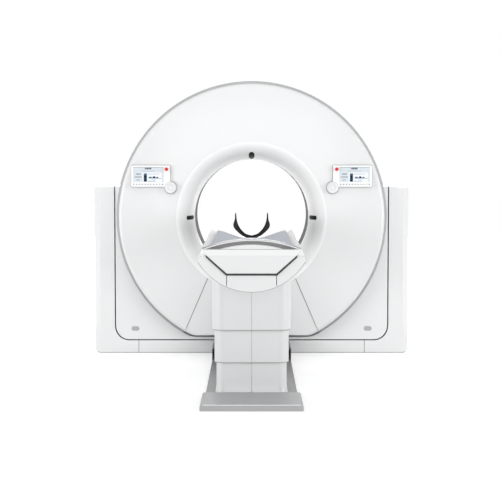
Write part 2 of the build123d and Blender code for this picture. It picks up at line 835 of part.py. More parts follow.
# Detector: an arc of modules centred on the focal spot, below the bore
focus_z = 0.694 * drum_outer
arc_inner, card_radius, arc_outer = (share * drum_outer for share in (1.378, 1.451, 1.525))
arc_span = 27
with BuildPart() as detector_arc:
    with BuildSketch(rotor_plane) as crescent:
        with Locations((0, focus_z)):
            with BuildLine():
                low, middle, high = (radians(270 + turn) for turn in (-arc_span, 0, arc_span))
                corners = [(r * cos(a), focus_z + r * sin(a)) for r, a in (
                    (arc_inner, low), (arc_inner, middle), (arc_inner, high),
                    (arc_outer, high), (arc_outer, middle), (arc_outer, low))]
                ThreePointArc(corners[0], corners[1], corners[2])
                Line(corners[2], corners[3])
                ThreePointArc(corners[3], corners[4], corners[5])
                Line(corners[5], corners[0])
            make_face()
    extrude(crescent.sketch, amount=drum_face + 90)
    for module in range(module_count):
        angle = 270 + (module - (module_count - 1) / 2) * 2 * arc_span / module_count
        with BuildSketch(facing(-90, iso_height)) as card:
            with Locations(Location((0, focus_z), angle)):
                with Locations((card_radius, 0)):
                    Rectangle(100, 44)
        extrude(card.sketch, amount=50)
save(detector_arc, "detector_arc")

with BuildPart() as counterweights:
    for angle in (-105, 105):
        radial_box(angle, drum_outer - 80, 150, 110, 120, 6)
save(counterweights, "counterweights")


# Patient table: floor plate, foot cover and floor duct

with BuildPart() as table_base_plate:
    block(-table_plate_half, table_plate_half, table_foot_y + 200, -housing_half_depth, 0, table_plate)
    with Locations((0, column_y, table_plate)):
        with GridLocations(320, 560, 2, 2):
            Hole(7)
save(table_base_plate, "table_base_plate")

with BuildPart() as foot_cover:
    foot_front = table_foot_y + 197
    foot_back = column_y - column_half_depth - 2 * sleeve_step - 2
    with BuildSketch(facing(foot_back)) as section:
        with BuildLine():
            corner = foot_cover_corner
            shoulder_x, shoulder_z = foot_cover_half - corner, foot_cover_height - corner
            Line((-foot_cover_half, 0), (-foot_cover_half, shoulder_z))
            RadiusArc((-foot_cover_half, shoulder_z), (-shoulder_x, foot_cover_height), corner)
            Line((-shoulder_x, foot_cover_height), (shoulder_x, foot_cover_height))
            RadiusArc((shoulder_x, foot_cover_height), (foot_cover_half, shoulder_z), corner)
            Polyline((foot_cover_half, shoulder_z), (foot_cover_half, 0), (-foot_cover_half, 0))
        make_face()
    extrude(section.sketch, amount=foot_back - foot_front)
    fillet(foot_cover.faces().sort_by(Axis.Y)[0].edges().sort_by(Axis.Z)[-1], 5)
    block(-table_plate_half, table_plate_half, foot_front + 3, foot_back + 1, -1, table_plate,
          mode=Mode.SUBTRACT)
    block(-foot_cover_half + 5, foot_cover_half - 5, foot_front + 5, foot_back + 1, -1,
          table_plate - 1, mode=Mode.SUBTRACT)
save(foot_cover, "foot_cover")

with BuildPart() as floor_duct:
    with BuildSketch(facing(-housing_half_depth - 1)) as section:
        with Locations((0, table_plate + duct_height / 2)):
            RectangleRounded(2 * duct_half, duct_height, 12)
        with Locations((0, table_plate + duct_height / 4)):
            Rectangle(2 * duct_half, duct_height / 2)
        with Locations((0, table_plate + duct_height / 2 - 5)):
            Rectangle(2 * duct_half - 8, duct_height - 8, mode=Mode.SUBTRACT)
    extrude(section.sketch, amount=-housing_half_depth - 1 - duct_front)
save(floor_duct, "floor_duct")


# Telescopic column: three nested sleeves and the lifting tubes inside them

def sleeve(grow, bottom, top):
    """A sleeve of the column, wider than the lowest one by grow on every side."""
    with BuildSketch(Plane.XY.offset(bottom)) as section:
        with Locations((0, column_y)):
            RectangleRounded(2 * (column_half_width + grow), 2 * (column_half_depth + grow),
                             column_corner + grow)
            RectangleRounded(2 * (column_half_width + grow - sleeve_wall),
                             2 * (column_half_depth + grow - sleeve_wall),
                             column_corner + grow - sleeve_wall, mode=Mode.SUBTRACT)
            with Locations((0, -column_half_depth - grow), (0, column_half_depth + grow)):
                Rectangle(seam_gap, 2 * sleeve_groove, mode=Mode.SUBTRACT)
    extrude(section.sketch, amount=top - bottom)


def tube(step, bottom, top):
    """A square lifting tube, step sizes inside the outermost one."""
    half = tube_half - step * (tube_wall + fit_gap)
    with BuildSketch(Plane.XY.offset(bottom)) as section:
        with Locations((0, column_y)):
            RectangleRounded(2 * half, 2 * half, 14 - 2 * step)
            RectangleRounded(2 * (half - tube_wall), 2 * (half - tube_wall), 10 - 2 * step,
                             mode=Mode.SUBTRACT)
    extrude(section.sketch, amount=top - bottom)


with BuildPart() as lower_column_cover:
    sleeve(0, table_plate, lower_top)
    for level, flare in enumerate(skirt_flares):
        with BuildSketch(Plane.XY.offset(table_plate + level * skirt_step)) as skirt:
            with Locations((0, column_y)):
                RectangleRounded(2 * (column_half_width + flare), 2 * (column_half_depth + flare),
                                 column_corner + flare)
        above = skirt_flares[level + 1] if level + 1 < len(skirt_flares) else 0
        extrude(skirt.sketch, amount=skirt_step, taper=degrees(atan2(flare - above, skirt_step)))
    with BuildSketch(Plane.XY.offset(table_plate)) as inside:
        with Locations((0, column_y)):
            RectangleRounded(2 * (column_half_width - sleeve_wall), 2 * (column_half_depth - sleeve_wall),
                             column_corner - sleeve_wall)
    extrude(inside.sketch, amount=lower_top, mode=Mode.SUBTRACT)
    for end in ends.values():
        groove_y = column_y + end * (column_half_depth - sleeve_groove)
        outside = groove_y + end * 20
        block(-seam_gap / 2, seam_gap / 2, min(groove_y, outside), max(groove_y, outside),
              table_plate, lower_top, mode=Mode.SUBTRACT)
save(lower_column_cover, "lower_column_cover")

with BuildPart() as lift_outer_tube:
    tube(0, table_plate, lower_top)
save(lift_outer_tube, "lift_outer_tube")

with BuildPart() as lift_motor:
    for motor_end in (-1, 1):
        rod(0, column_y + motor_end * 230, table_plate, 58, 60, (0, 0, 1))
        rod(0, column_y + motor_end * 230, table_plate + 60, 48, 130, (0, 0, 1))
    block(-40, 40, column_y - 172, column_y - tube_half, table_plate, table_plate + 50)
    block(-40, 40, column_y + tube_half, column_y + 172, table_plate, table_plate + 50)
save(lift_motor, "lift_motor")

with BuildPart() as middle_column_cover:
    sleeve(sleeve_step, middle_bottom, middle_top)
    inner_edge = column_half_width + sleeve_step - sleeve_wall
    with BuildSketch(Plane.XY.offset(middle_top - 6)) as flange:
        with Locations((0, column_y)):
            Rectangle(2 * inner_edge, 60)
            Rectangle(60, 2 * (column_half_depth + sleeve_step - sleeve_wall))
            hole = tube_half - tube_wall - fit_gap
            Rectangle(2 * hole, 2 * hole, mode=Mode.SUBTRACT)
    extrude(flange.sketch, amount=6)
save(middle_column_cover, "middle_column_cover")

with BuildPart() as lift_middle_tube:
    tube(1, middle_top - lower_top + 4, middle_top)
save(lift_middle_tube, "lift_middle_tube")


# Table top: bowl-bottomed body with a trough for the cradle's carriage

def bowl_volume(shrink):
    """Body of the table top, smaller by shrink on every outer wall, without its trough."""
    half = body_half_width - shrink
    with BuildPart() as volume:
        with BuildSketch(facing(table_head_y - shrink)) as section:
            with BuildLine():
                Polyline((-half, body_side), (-half, body_top - shrink), (half, body_top - shrink),
                         (half, body_side))
                ThreePointArc((half, body_side), (0, body_bottom + shrink), (-half, body_side))
            make_face()
        extrude(section.sketch, amount=table_head_y - table_foot_y - 2 * shrink)
        with BuildSketch(Plane.YZ) as taper:
            Polygon((taper_start, body_bottom + shrink - 0.01), (table_head_y + 1, body_bottom - 20),
                    (table_head_y + 1, body_bottom + taper_rise + shrink), align=None)
        extrude(taper.sketch, amount=body_half_width + 5, both=True, mode=Mode.SUBTRACT)
    return volume.part


def trough(grow):
    """Prism of the trough, larger by grow than the hull that runs in it."""
    slope = (trough_top_half - trough_floor_half) / (body_top - trough_floor)
    rise = 60
    shift = grow * sqrt(1 + slope ** 2) - grow * slope
    with BuildPart() as prism:
        with BuildSketch(facing(table_head_y + 1)) as section:
            low = trough_floor - grow
            Polygon((-trough_top_half - rise * slope - shift - grow * slope, body_top + rise),
                    (-trough_floor_half - shift, low), (trough_floor_half + shift, low),
                    (trough_top_half + rise * slope + shift + grow * slope, body_top + rise), align=None)
        extrude(section.sketch, amount=table_head_y - table_foot_y + 2)
    return prism.part


rail_gap = 112
with BuildPart() as body_shell:
    add(bowl_volume(0))
    add(trough(liner_gap + liner_thick), mode=Mode.SUBTRACT)
    with BuildPart(mode=Mode.PRIVATE) as cavity:
        add(bowl_volume(body_wall))
        add(trough(liner_gap + liner_thick + body_wall), mode=Mode.SUBTRACT)
    add(cavity.part, mode=Mode.SUBTRACT)
    block(-rail_gap, rail_gap, table_foot_y + 20, table_head_y - 20, rail_bed - 6, body_top,
          mode=Mode.SUBTRACT)

for name, side in sides.items():
    with BuildPart() as body_cover:
        add(body_shell.part)
        seam, outside = side * (body_seam_x + seam_gap / 2), side * (body_half_width + 1)
        block(min(seam, outside), max(seam, outside), table_foot_y - 1, table_head_y + 1,
              0, body_top + 1, mode=Mode.INTERSECT)
    save(body_cover, f"{name}_body_cover")

with BuildPart() as centre_body_cover:
    add(body_shell.part)
    seam = body_seam_x - seam_gap / 2
    block(-seam, seam, table_foot_y - 1, table_head_y + 1, 0, body_top + 1, mode=Mode.INTERSECT)
    block(-tube_half, tube_half, column_y - tube_half, column_y + tube_half, 0, rail_bed - 20,
          mode=Mode.SUBTRACT)
save(centre_body_cover, "centre_body_cover")

# Black liner of the trough, with the slide pads that carry the cradle at the head end
cradle_sag = cradle_top - cradle_under
inner_sag = cradle_top - cradle_inside
cradle_arc = (cradle_half_width ** 2 + cradle_sag ** 2) / (2 * cradle_sag)
with BuildPart() as trough_liner:
    for side in sides.values():
        block(side * 70 - 30, side * 70 + 30, table_head_y - 55, table_head_y - 35, rail_bed, 770)
    with BuildSketch(facing(table_head_y)) as hollow:
        with Locations((0, cradle_under - fit_gap + cradle_arc)):
            Circle(cradle_arc)
    extrude(hollow.sketch, amount=100, mode=Mode.SUBTRACT)
    with BuildPart(mode=Mode.PRIVATE) as skin:
        add(trough(liner_gap + liner_thick))
        add(trough(liner_gap), mode=Mode.SUBTRACT)
        block(-400, 400, table_foot_y, table_head_y - 3, 0, body_top - 1, mode=Mode.INTERSECT)
        block(-rail_gap, rail_gap, table_foot_y - 1, table_head_y + 1, 0, body_top, mode=Mode.SUBTRACT)
    add(skin.part)
save(trough_liner, "trough_liner")

# Steel frame of the table top, with the two rails that the carriage rides on
with BuildPart() as table_frame:
    block(-rail_gap + 1, rail_gap - 1, table_foot_y + 60, table_head_y - 30, 672, rail_bed)
    block(-rail_gap + 13, rail_gap - 13, table_foot_y + 72, table_head_y - 300, 684, rail_bed - 10,
          mode=Mode.SUBTRACT)
    add(bowl_volume(body_wall), mode=Mode.INTERSECT)
    for side in sides.values():
        block(side * rail_x - rail_width / 2, side * rail_x + rail_width / 2, table_foot_y + 60,
              table_head_y - 60, rail_bed, trough_floor - fit_gap)
save(table_frame, "table_frame")

with BuildPart() as cradle_drive:
    rod(0, table_foot_y + 72, 694, 9, 40, (0, 1, 0))
    block(-40, 40, table_foot_y + 112, table_foot_y + 260, 684.1, 704.9)
save(cradle_drive, "cradle_drive")

with BuildPart() as lift_inner_tube:
    tube(2, upper_bottom - 7, 672)
save(lift_inner_tube, "lift_inner_tube")

with BuildPart() as upper_column_cover:
    sleeve(2 * sleeve_step, upper_bottom, body_side)
    add(bowl_volume(-shaft_clearance), mode=Mode.SUBTRACT)
save(upper_column_cover, "upper_column_cover")


# Cradle: a curved carbon shell on a carriage whose hull-shaped cap closes the foot end

def crescent(half, ends_z, under, inside, lip):
    """Section between two arcs that meet near the edges, with a narrow lip at each side."""
    with BuildSketch() as section:
        with BuildLine():
            ThreePointArc((-half, ends_z), (0, under), (half, ends_z))
            Line((half, ends_z), (half - lip, ends_z))
            ThreePointArc((half - lip, ends_z), (0, inside), (lip - half, ends_z))
            Line((lip - half, ends_z), (-half, ends_z))
        make_face()
    return section.sketch


cradle_foot_y = table_foot_y + hull_length - hull_front
with BuildPart() as cradle_shell:
    with BuildSketch(facing(cradle_head_y)) as section:
        add(crescent(cradle_half_width, cradle_top, cradle_under, cradle_inside, cradle_lip))
    extrude(section.sketch, amount=cradle_head_y - cradle_foot_y)
    for side in sides.values():
        block(side * rail_x - 20, side * rail_x + 20, cradle_foot_y, cradle_foot_y + runner_length,
              trough_floor, cradle_under + 20)
    block(-tongue_half, tongue_half, cradle_head_y - tongue_length, cradle_head_y + 1, tongue_z,
          tongue_z + tongue_thick, mode=Mode.SUBTRACT)
save(cradle_shell, "cradle_shell")

with BuildPart() as hull_cap:
    with BuildSketch(facing(cradle_foot_y)) as section:
        with BuildLine():
            Polyline((-cradle_half_width + 2.5, cradle_top), (-trough_top_half, body_top),
                     (-trough_floor_half, trough_floor + 0.5), (trough_floor_half, trough_floor + 0.5),
                     (trough_top_half, body_top), (cradle_half_width - 2.5, cradle_top))
            Line((cradle_half_width - 2.5, cradle_top), (hull_crown_half, cradle_top))
            ThreePointArc((hull_crown_half, cradle_top), (0, cradle_top + hull_crown),
                          (-hull_crown_half, cradle_top))
            Line((-hull_crown_half, cradle_top), (2.5 - cradle_half_width, cradle_top))
        make_face()
    extrude(section.sketch, amount=hull_length)
    fillet(hull_cap.faces().sort_by(Axis.Y)[0].edges(), 3)
save(hull_cap, "hull_cap")

# The arched hoop at the foot end
with BuildPart() as foot_hoop:
    with BuildSketch(facing(cradle_foot_y)) as section:
        add(crescent(hoop_half, cradle_top, cradle_top + hoop_rise,
                     cradle_top + hoop_rise - hoop_band, hoop_lip))
    extrude(section.sketch, amount=hoop_length)
    add(hull_cap.part, mode=Mode.SUBTRACT)
save(foot_hoop, "foot_hoop")

with BuildPart() as mattress:
    with BuildSketch(facing(cradle_head_y - mattress_setback)) as section:
        side_z, peak_x = mattress_top - 12, mattress_half - mattress_bevel
        inner_arc = ((cradle_half_width - cradle_lip) ** 2 + inner_sag ** 2) / (2 * inner_sag)
        base_z = cradle_inside + fit_gap + inner_arc - sqrt(inner_arc ** 2 - mattress_half ** 2)
        with BuildLine():
            Polyline((-mattress_half, base_z), (-mattress_half, side_z), (-peak_x, mattress_top))
            ThreePointArc((-peak_x, mattress_top), (0, mattress_dip), (peak_x, mattress_top))
            Polyline((peak_x, mattress_top), (mattress_half, side_z), (mattress_half, base_z))
            ThreePointArc((mattress_half, base_z), (0, cradle_inside + fit_gap), (-mattress_half, base_z))
        make_face()
    extrude(section.sketch, amount=cradle_head_y - mattress_setback - cradle_foot_y)
save(mattress, "mattress")

with BuildPart() as head_holder:
    top = holder_bottom + holder_height
    with BuildSketch(facing(holder_tip_y)) as section:
        with BuildLine():
            tip, inner_tip = holder_tip_half, holder_tip_half - 5
            belly, shoulder = top - 83, holder_bottom + 27
            Spline((-tip, top), (-holder_half, belly), (20 - holder_half, shoulder), (0, holder_bottom),
                   (holder_half - 20, shoulder), (holder_half, belly), (tip, top),
                   tangents=((-0.15, -1), (-0.15, 1)))
            Line((tip, top), (inner_tip, top))
            Spline((inner_tip, top), (holder_half - 25, belly), (60, holder_bottom + 24),
                   (0, holder_bottom + 13), (-60, holder_bottom + 24), (25 - holder_half, belly),
                   (-inner_tip, top), tangents=((0, -1), (0, 1)))
            Line((-inner_tip, top), (-tip, top))
        make_face()
    extrude(section.sketch, amount=holder_tip_y - cradle_head_y - fit_gap)
    tongue = tongue_half - fit_gap
    block(-tongue, tongue, cradle_head_y - tongue_length, cradle_head_y + 30,
          tongue_z + fit_gap, tongue_z + tongue_thick - fit_gap)
    block(-tongue, tongue, cradle_head_y + fit_gap, cradle_head_y + 30, tongue_z + fit_gap,
          holder_bottom + 4)
save(head_holder, "head_holder")
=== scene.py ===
from math import hypot, pi, radians, sin, sqrt

import bmesh
import bpy
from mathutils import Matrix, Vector


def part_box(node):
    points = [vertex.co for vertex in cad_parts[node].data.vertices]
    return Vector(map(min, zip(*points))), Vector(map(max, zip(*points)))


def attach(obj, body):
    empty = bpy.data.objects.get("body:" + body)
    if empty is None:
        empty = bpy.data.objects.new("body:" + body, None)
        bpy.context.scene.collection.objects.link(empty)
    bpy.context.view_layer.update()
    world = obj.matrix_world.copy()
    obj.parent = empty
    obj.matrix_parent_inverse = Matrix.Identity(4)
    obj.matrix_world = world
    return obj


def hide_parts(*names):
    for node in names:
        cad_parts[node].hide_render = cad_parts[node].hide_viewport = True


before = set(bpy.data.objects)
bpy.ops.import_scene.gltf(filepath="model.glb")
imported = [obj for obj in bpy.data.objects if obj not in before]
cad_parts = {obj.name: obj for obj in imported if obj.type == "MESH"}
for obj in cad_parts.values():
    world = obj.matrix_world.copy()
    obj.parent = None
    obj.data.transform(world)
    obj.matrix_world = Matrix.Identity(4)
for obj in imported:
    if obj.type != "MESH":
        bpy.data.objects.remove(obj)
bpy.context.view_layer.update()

# Tilting housing. The real shell is glass-fibre moulding, sprayed with a satin white lacquer whose
# fine orange peel breaks up reflections a little, and it is screwed to the tilting frame from inside.


class Wire:
    """A value in a node tree; arithmetic on it adds the Math nodes that work it out."""

    def __init__(self, tree, socket=None, family="ShaderNode"):
        self.tree = tree
        self.socket = socket
        self.family = family

    def add(self, kind, settings=None, sockets=None, output=0):
        """Add a node: its settings first, then the values or wires of its sockets."""
        node = self.tree.nodes.new(kind if "Node" in kind else self.family + kind)
        for name, value in (settings or {}).items():
            setattr(node, name, value)
        for name, value in (sockets or {}).items():
            if isinstance(value, Wire):
                self.tree.links.new(value.socket, node.inputs[name])
            else:
                node.inputs[name].default_value = value
        return Wire(self.tree, node.outputs[output], self.family) if node.outputs else None

    def other(self, name):
        """Another output of the node that this value comes from."""
        return Wire(self.tree, self.socket.node.outputs[name], self.family)

    def maths(self, operation, first, second=0.0):
        """A Math node's result for numbers or wires."""
        return self.add("Math", {"operation": operation}, {0: first, 1: second})

    def __add__(self, other):
        return self.maths("ADD", self, other)

    def __sub__(self, other):
        return self.maths("SUBTRACT", self, other)

    def __rsub__(self, other):
        return self.maths("SUBTRACT", other, self)

    def __mul__(self, other):
        return self.maths("MULTIPLY", self, other)

    def __lt__(self, other):
        return self.maths("LESS_THAN", self, other)

    def __gt__(self, other):
        return self.maths("GREATER_THAN", self, other)

    def __abs__(self):
        return self.maths("ABSOLUTE", self)

    __radd__ = __add__
    __rmul__ = __mul__

    def mix(self, mask, plain, marked):
        """The plain colour where the mask is 0 and the marked colour where it is 1."""
        return self.add("Mix", {"data_type": "RGBA"}, {0: mask, 6: plain, 7: marked}, output=2)

    def clamped(self):
        """This value, held between 0 and 1."""
        return self.maths("MINIMUM", self.maths("MAXIMUM", self, 0.0), 1.0)

    def noise(self, place, scale, detail=2.0):
        """Noise from 0 to 1 that has about so many spots to a metre."""
        return self.add("TexNoise", None, {"Vector": place, "Scale": scale, "Detail": detail})

    def place(self):
        """The point that is shaded, in the frame's metres."""
        return self.add("TexCoord", None, None, output="Object")

    def axes(self, place):
        """The three coordinates of a place."""
        x = self.add("SeparateXYZ", None, {0: place})
        return x, x.other("Y"), x.other("Z")

    def length(self, first, second):
        """Distance of a point from the origin of its plane."""
        return self.maths("SQRT", first * first + second * second)


def open_finish(name):
    """A new material and the wire that its nodes are added through."""
    material = bpy.data.materials.new(name)
    material.use_nodes = True
    material.node_tree.nodes.clear()
    return material, Wire(material.node_tree)


def close_finish(wire, sockets):
    """The surface shader and the output that end a material."""
    wire.add("OutputMaterial", None, {"Surface": wire.add("BsdfPrincipled", None, sockets)})


def lacquer(name, colour, roughness=0.36, peel=0.012, edge=0.003, paint=None, coat=0.15, gloss=0.5):
    """Sprayed moulding: slow tone drift, orange peel and edges that are softly rounded over.

    paint takes the wire, the place and the tone, and returns the tone with its lines painted on.
    """
    material, wire = open_finish(name)
    place = wire.place()
    drift = wire.noise(place, 1.3)
    haze = wire.noise(place, 14.0, 3.0)
    darker = tuple(0.965 * part for part in colour) + (1.0,)
    tone = wire.mix(drift, darker, colour + (1.0,))
    if paint:
        tone = paint(wire, place, tone)
    rounded = wire.add("Bevel", {"samples": 4}, {"Radius": edge})
    skin = wire.add("Bump", None, {"Strength": peel, "Distance": 0.001,
                                   "Height": wire.noise(place, 420.0, 1.0), "Normal": rounded})
    close_finish(wire, {"Base Color": tone, "Roughness": haze * 0.10 + (roughness - 0.05),
                        "Normal": skin, "Coat Weight": coat, "Coat Roughness": 0.12,
                        "Specular IOR Level": gloss})
    return material


def dress(material, *nodes):
    """Give CAD nodes their finish."""
    for name in nodes:
        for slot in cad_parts[name].material_slots:
            slot.material = material


satin = {"roughness": 0.38, "peel": 0.010, "edge": 0.003}
cover_white = (0.79, 0.795, 0.80)
cover_lacquer = lacquer("cover_lacquer", cover_white)
dress(cover_lacquer, "housing_shell")

# Round covers. Front and rear are domed mouldings screwed to the frame, with a tapered access panel
# below the bore. A grey extruded trim is pushed over their rims, and rubber plugs hide the screws of
# the housing's lower corners.

dress(cover_lacquer, "front_cover", "access_panel", "rear_cover")
trim_foot = 0.150
trim_middle = 0.80
trim_shade_strength = 0.7
# Painted shade on the trim: it darkens below trim_middle and is darkest on its flat foot.
trim_shade_grey = (0.20, 0.20, 0.205, 1.0)
trim_foot_shadow_grey = (0.13, 0.13, 0.133, 1.0)


def trim_painted_shade(wire, place, tone):
    """Painted shade: the trim darkens towards its foot, and its flat foot is darkest."""
    _, _, z = wire.axes(place)
    down = ((trim_middle - z) * (1 / trim_middle)).clamped()
    shaded = wire.mix(down * trim_shade_strength, tone, trim_shade_grey)
    return wire.mix(z < trim_foot, shaded, trim_foot_shadow_grey)


trim_grey = lacquer("trim_grey", (0.42, 0.425, 0.435),
                    roughness=0.45, peel=0.02, edge=0.002, paint=trim_painted_shade)
dress(trim_grey, "front_trim_ring", "rear_trim_ring")

plug_rubber = lacquer("plug_rubber", (0.42, 0.42, 0.43), roughness=0.6, peel=0.05, edge=0.002)
dress(plug_rubber, "corner_plugs")


def bead_tree():
    """Geometry nodes that lay a round bead along a path of edges."""
    tree = bpy.data.node_groups.new("bead_along_path", "GeometryNodeTree")
    tree.interface.new_socket("Geometry", in_out="OUTPUT", socket_type="NodeSocketGeometry")
    tree.interface.new_socket("Path", in_out="INPUT", socket_type="NodeSocketGeometry")
    tree.interface.new_socket("Bead Radius", in_out="INPUT", socket_type="NodeSocketFloat")
    tree.interface.new_socket("Finish", in_out="INPUT", socket_type="NodeSocketMaterial")
    wire = Wire(tree, family="GeometryNode")
    path = wire.add("NodeGroupInput")
    curve = wire.add("MeshToCurve", None, {"Mesh": path})
    section = wire.add("CurvePrimitiveCircle", None,
                       {"Resolution": 10, "Radius": path.other("Bead Radius")})
    bead = wire.add("CurveToMesh", None, {"Curve": curve, "Profile Curve": section, "Fill Caps": True})
    smooth = wire.add("SetShadeSmooth", None, {"Geometry": bead})
    real = wire.add("RealizeInstances", None, {"Geometry": smooth})
    done = wire.add("SetMaterial", None, {"Geometry": real, "Material": path.other("Finish")})
    wire.add("NodeGroupOutput", None, {"Geometry": done})
    return tree


def grown(name, tree, mesh, values):
    """The plain object that a geometry nodes tree makes of a mesh, with its inputs set."""
    holder = bpy.data.objects.new(name + "_growth", mesh)
    bpy.context.scene.collection.objects.link(holder)
    modifier = holder.modifiers.new("growth", "NODES")
    modifier.node_group = tree
    for item in tree.interface.items_tree:
        if item.name in values:
            modifier[item.identifier] = values[item.name]
    graph = bpy.context.evaluated_depsgraph_get()
    graph.update()
    result = bpy.data.meshes.new_from_object(holder.evaluated_get(graph))
    bpy.data.objects.remove(holder)
    piece = bpy.data.objects.new(name, result)
    bpy.context.scene.collection.objects.link(piece)
    return piece


bead_nodes = bead_tree()


def bead(name, paths, radius, finish, body, slot, closed=False):
    """A rubber bead or piping along one or more lines of points, riding on a body."""
    points, edges = [], []
    for path in paths:
        start = len(points)
        points += path
        edges += [(start + i, start + i + 1) for i in range(len(path) - 1)]
        if closed:
            edges.append((start + len(path) - 1, start))
    mesh = bpy.data.meshes.new(name + "_path")
    mesh.from_pydata(points, edges, [])
    piece = grown(name, bead_nodes, mesh, {"Bead Radius": radius, "Finish": finish})
    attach(piece, body)


# Gasket of the access panel: a lip seal of soft grey rubber, pressed into the two slanting joints
# between the panel and the front cover.

seal_grey = lacquer("seal_grey", (0.13, 0.13, 0.135), roughness=0.6, peel=0.05, edge=0.001)
iso_height = 0.921
seam_start, seam_foot = 0.410, 0.790
seam_half, seam_half_at = 0.2914, 0.4062
seam_slope = 0.43
seam_steps = 24
seam_beside = 0.006
gasket_radius = 0.0019
gasket_out = 0.0015
gasket_in = 0.0012
cover_reach = -0.35
in_front = -1.0


def cover_face(x, z):
    """Depth of the front cover's face at a point, or None where a ray from the front misses it."""
    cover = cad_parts["front_cover"]
    hit, place, _, _ = cover.ray_cast(Vector((x, in_front, z)), Vector((0, 1, 0)))
    return place.y if hit else None


seams = []
for side in (-1, 1):
    line = []
    for i in range(seam_steps + 1):
        drop = seam_start + (seam_foot - seam_start) * i / seam_steps
        half = seam_half + seam_slope * (drop - seam_half_at)
        depth = cover_face(side * (half + seam_beside), iso_height - drop)
        if depth is not None and depth < cover_reach:
            line.append((side * (half + gasket_out), depth + gasket_in, iso_height - drop))
    seams.append(line)
bead("access_gasket", seams, gasket_radius, seal_grey, "gantry", "black_rubber")

# Funnels and tunnel. The mouths are smoother mouldings clipped to the covers, the tunnel wall is a
# dark plastic band between them, and three black windows let the positioning lasers out.

# Painted light: the mouths carry a paler white than the covers, so their recessed faces look as bright.
funnel_lit_lacquer = lacquer("funnel_lit_lacquer", (0.93, 0.933, 0.937),
                         roughness=0.40, peel=0.008, edge=0.002)
dress(funnel_lit_lacquer, "front_funnel", "rear_funnel")
tunnel_grey = lacquer("tunnel_grey", (0.075, 0.077, 0.08),
                      roughness=0.6, peel=0.02, edge=0.001, coat=0.0, gloss=0.2)
dress(tunnel_grey, "scan_window")
laser_black = lacquer("laser_black", (0.006, 0.006, 0.007),
                      roughness=0.45, peel=0.002, edge=0.001, coat=0.0, gloss=0.1)
dress(laser_black, "laser_windows")

# Floor stand. Tower and beam covers are the same lacquered moulding, screwed to the welded base, and
# a grey line of painted shade runs along their lower edges, above the floor.


def painted_shade_line(low, width, grey):
    """Painted shade: a grey line along the lower edge of a cover that starts at height low."""
    def shade_line(wire, place, tone):
        _, _, z = wire.axes(place)
        return wire.mix(z < low + width, tone, (grey, grey, grey, 1.0))
    return shade_line


# Painted shade along the stand covers' lower edges, where they meet the floor.
stand_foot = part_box("front_beam_cover")[0][2]
stand_lacquer = lacquer("stand_lacquer", cover_white, paint=painted_shade_line(stand_foot, width=0.006, grey=0.40))
dress(stand_lacquer, "left_tower_cover", "right_tower_cover", "front_beam_cover", "rear_beam_cover")


def metal(name, colour, roughness, metallic=1.0):
    """Bare or painted metal with fine machining streaks and a little tone drift."""
    material, wire = open_finish(name)
    place = wire.place()
    stretched = wire.add("Mapping", None, {"Vector": place, "Scale": (3.0, 3.0, 160.0)})
    streaks = wire.noise(stretched, 6.0, 3.0)
    darker = tuple(0.85 * part for part in colour) + (1.0,)
    tone = wire.mix(wire.noise(place, 3.0), darker, colour + (1.0,))
    bump = wire.add("Bump", None, {"Strength": 0.03, "Distance": 0.001, "Height": streaks})
    close_finish(wire, {"Base Color": tone, "Metallic": metallic,
                        "Roughness": streaks * 0.15 + (roughness - 0.07), "Normal": bump})
    return material


frame_paint = metal("frame_paint", (0.20, 0.22, 0.24), roughness=0.5, metallic=0.0)
dress(frame_paint, "base_frame", "tilt_frame", "table_frame")
bright_steel = metal("bright_steel", (0.58, 0.58, 0.60), roughness=0.3)
dress(bright_steel, "tilt_bearings", "bearing_outer_ring", "bearing_inner_ring", "lift_outer_tube",
      "lift_middle_tube", "lift_inner_tube")
motor_paint = metal("motor_paint", (0.03, 0.03, 0.035), roughness=0.4, metallic=0.0)
dress(motor_paint, "tilt_gearmotor", "lift_motor", "cradle_drive")

# Rotor. Its units are cast and milled aluminium cases that are bolted to the drum, and its slip ring
# and drive have copper tracks.

case_metal = metal("case_metal", (0.62, 0.63, 0.65), roughness=0.38)
dress(case_metal, "rotor_drum", "x_ray_tube", "heat_exchanger", "high_voltage_generator",
      "detector_arc")
copper = metal("copper", (0.62, 0.30, 0.16), roughness=0.3)
dress(copper, "drive_stator", "slip_ring")
dress(motor_paint, "counterweights", "brush_block")

# Control panels. Each is a pale plastic plate screwed to the cover, with a red stop button in its
# upper inner corner and a turning knob, with a push button in its middle, on a lobe of the plate.

knob_x, knob_z = 0.537, 1.119
plate_x, plate_z = 0.669, 1.195
plate_half_x, plate_half_z, plate_corner = 0.132, 0.074, 0.009
lobe_radius = 0.043
rim_line = 0.0036
ring_inside, dish_radius, highlight_radius = 0.0357, 0.0195, 0.0075
line_grey = (0.44, 0.44, 0.445, 1.0)
ring_grey = (0.62, 0.62, 0.625, 1.0)
# Painted shade on the knob buttons' dish, round a painted highlight at their middle.
dish_shade_grey = (0.70, 0.705, 0.71, 1.0)


def rim_lines(wire, place, tone):
    """A grey edge line round each plate and the lobe that carries its knob."""
    x, _, z = wire.axes(place)
    out = abs(x)
    over_x = abs(out - plate_x) - (plate_half_x - plate_corner)
    over_z = abs(z - plate_z) - (plate_half_z - plate_corner)
    corner = wire.length(wire.maths("MAXIMUM", over_x, 0.0), wire.maths("MAXIMUM", over_z, 0.0))
    inside = wire.maths("MINIMUM", wire.maths("MAXIMUM", over_x, over_z), 0.0)
    plate = corner + inside - plate_corner
    lobe = wire.length(out - knob_x, z - knob_z) - lobe_radius
    return wire.mix(wire.maths("MINIMUM", plate, lobe) > -rim_line, tone, line_grey)


def knob_lines(wire, place, tone):
    """Grey rim line, and painted shade on the button round a painted highlight at its middle."""
    x, _, z = wire.axes(place)
    radius = wire.length(abs(x) - knob_x, z - knob_z)
    ringed = wire.mix(radius > ring_inside, tone, ring_grey)
    dish_shaded = wire.mix(radius < dish_radius, ringed, dish_shade_grey)
    return wire.mix(radius < highlight_radius, dish_shaded, tone)


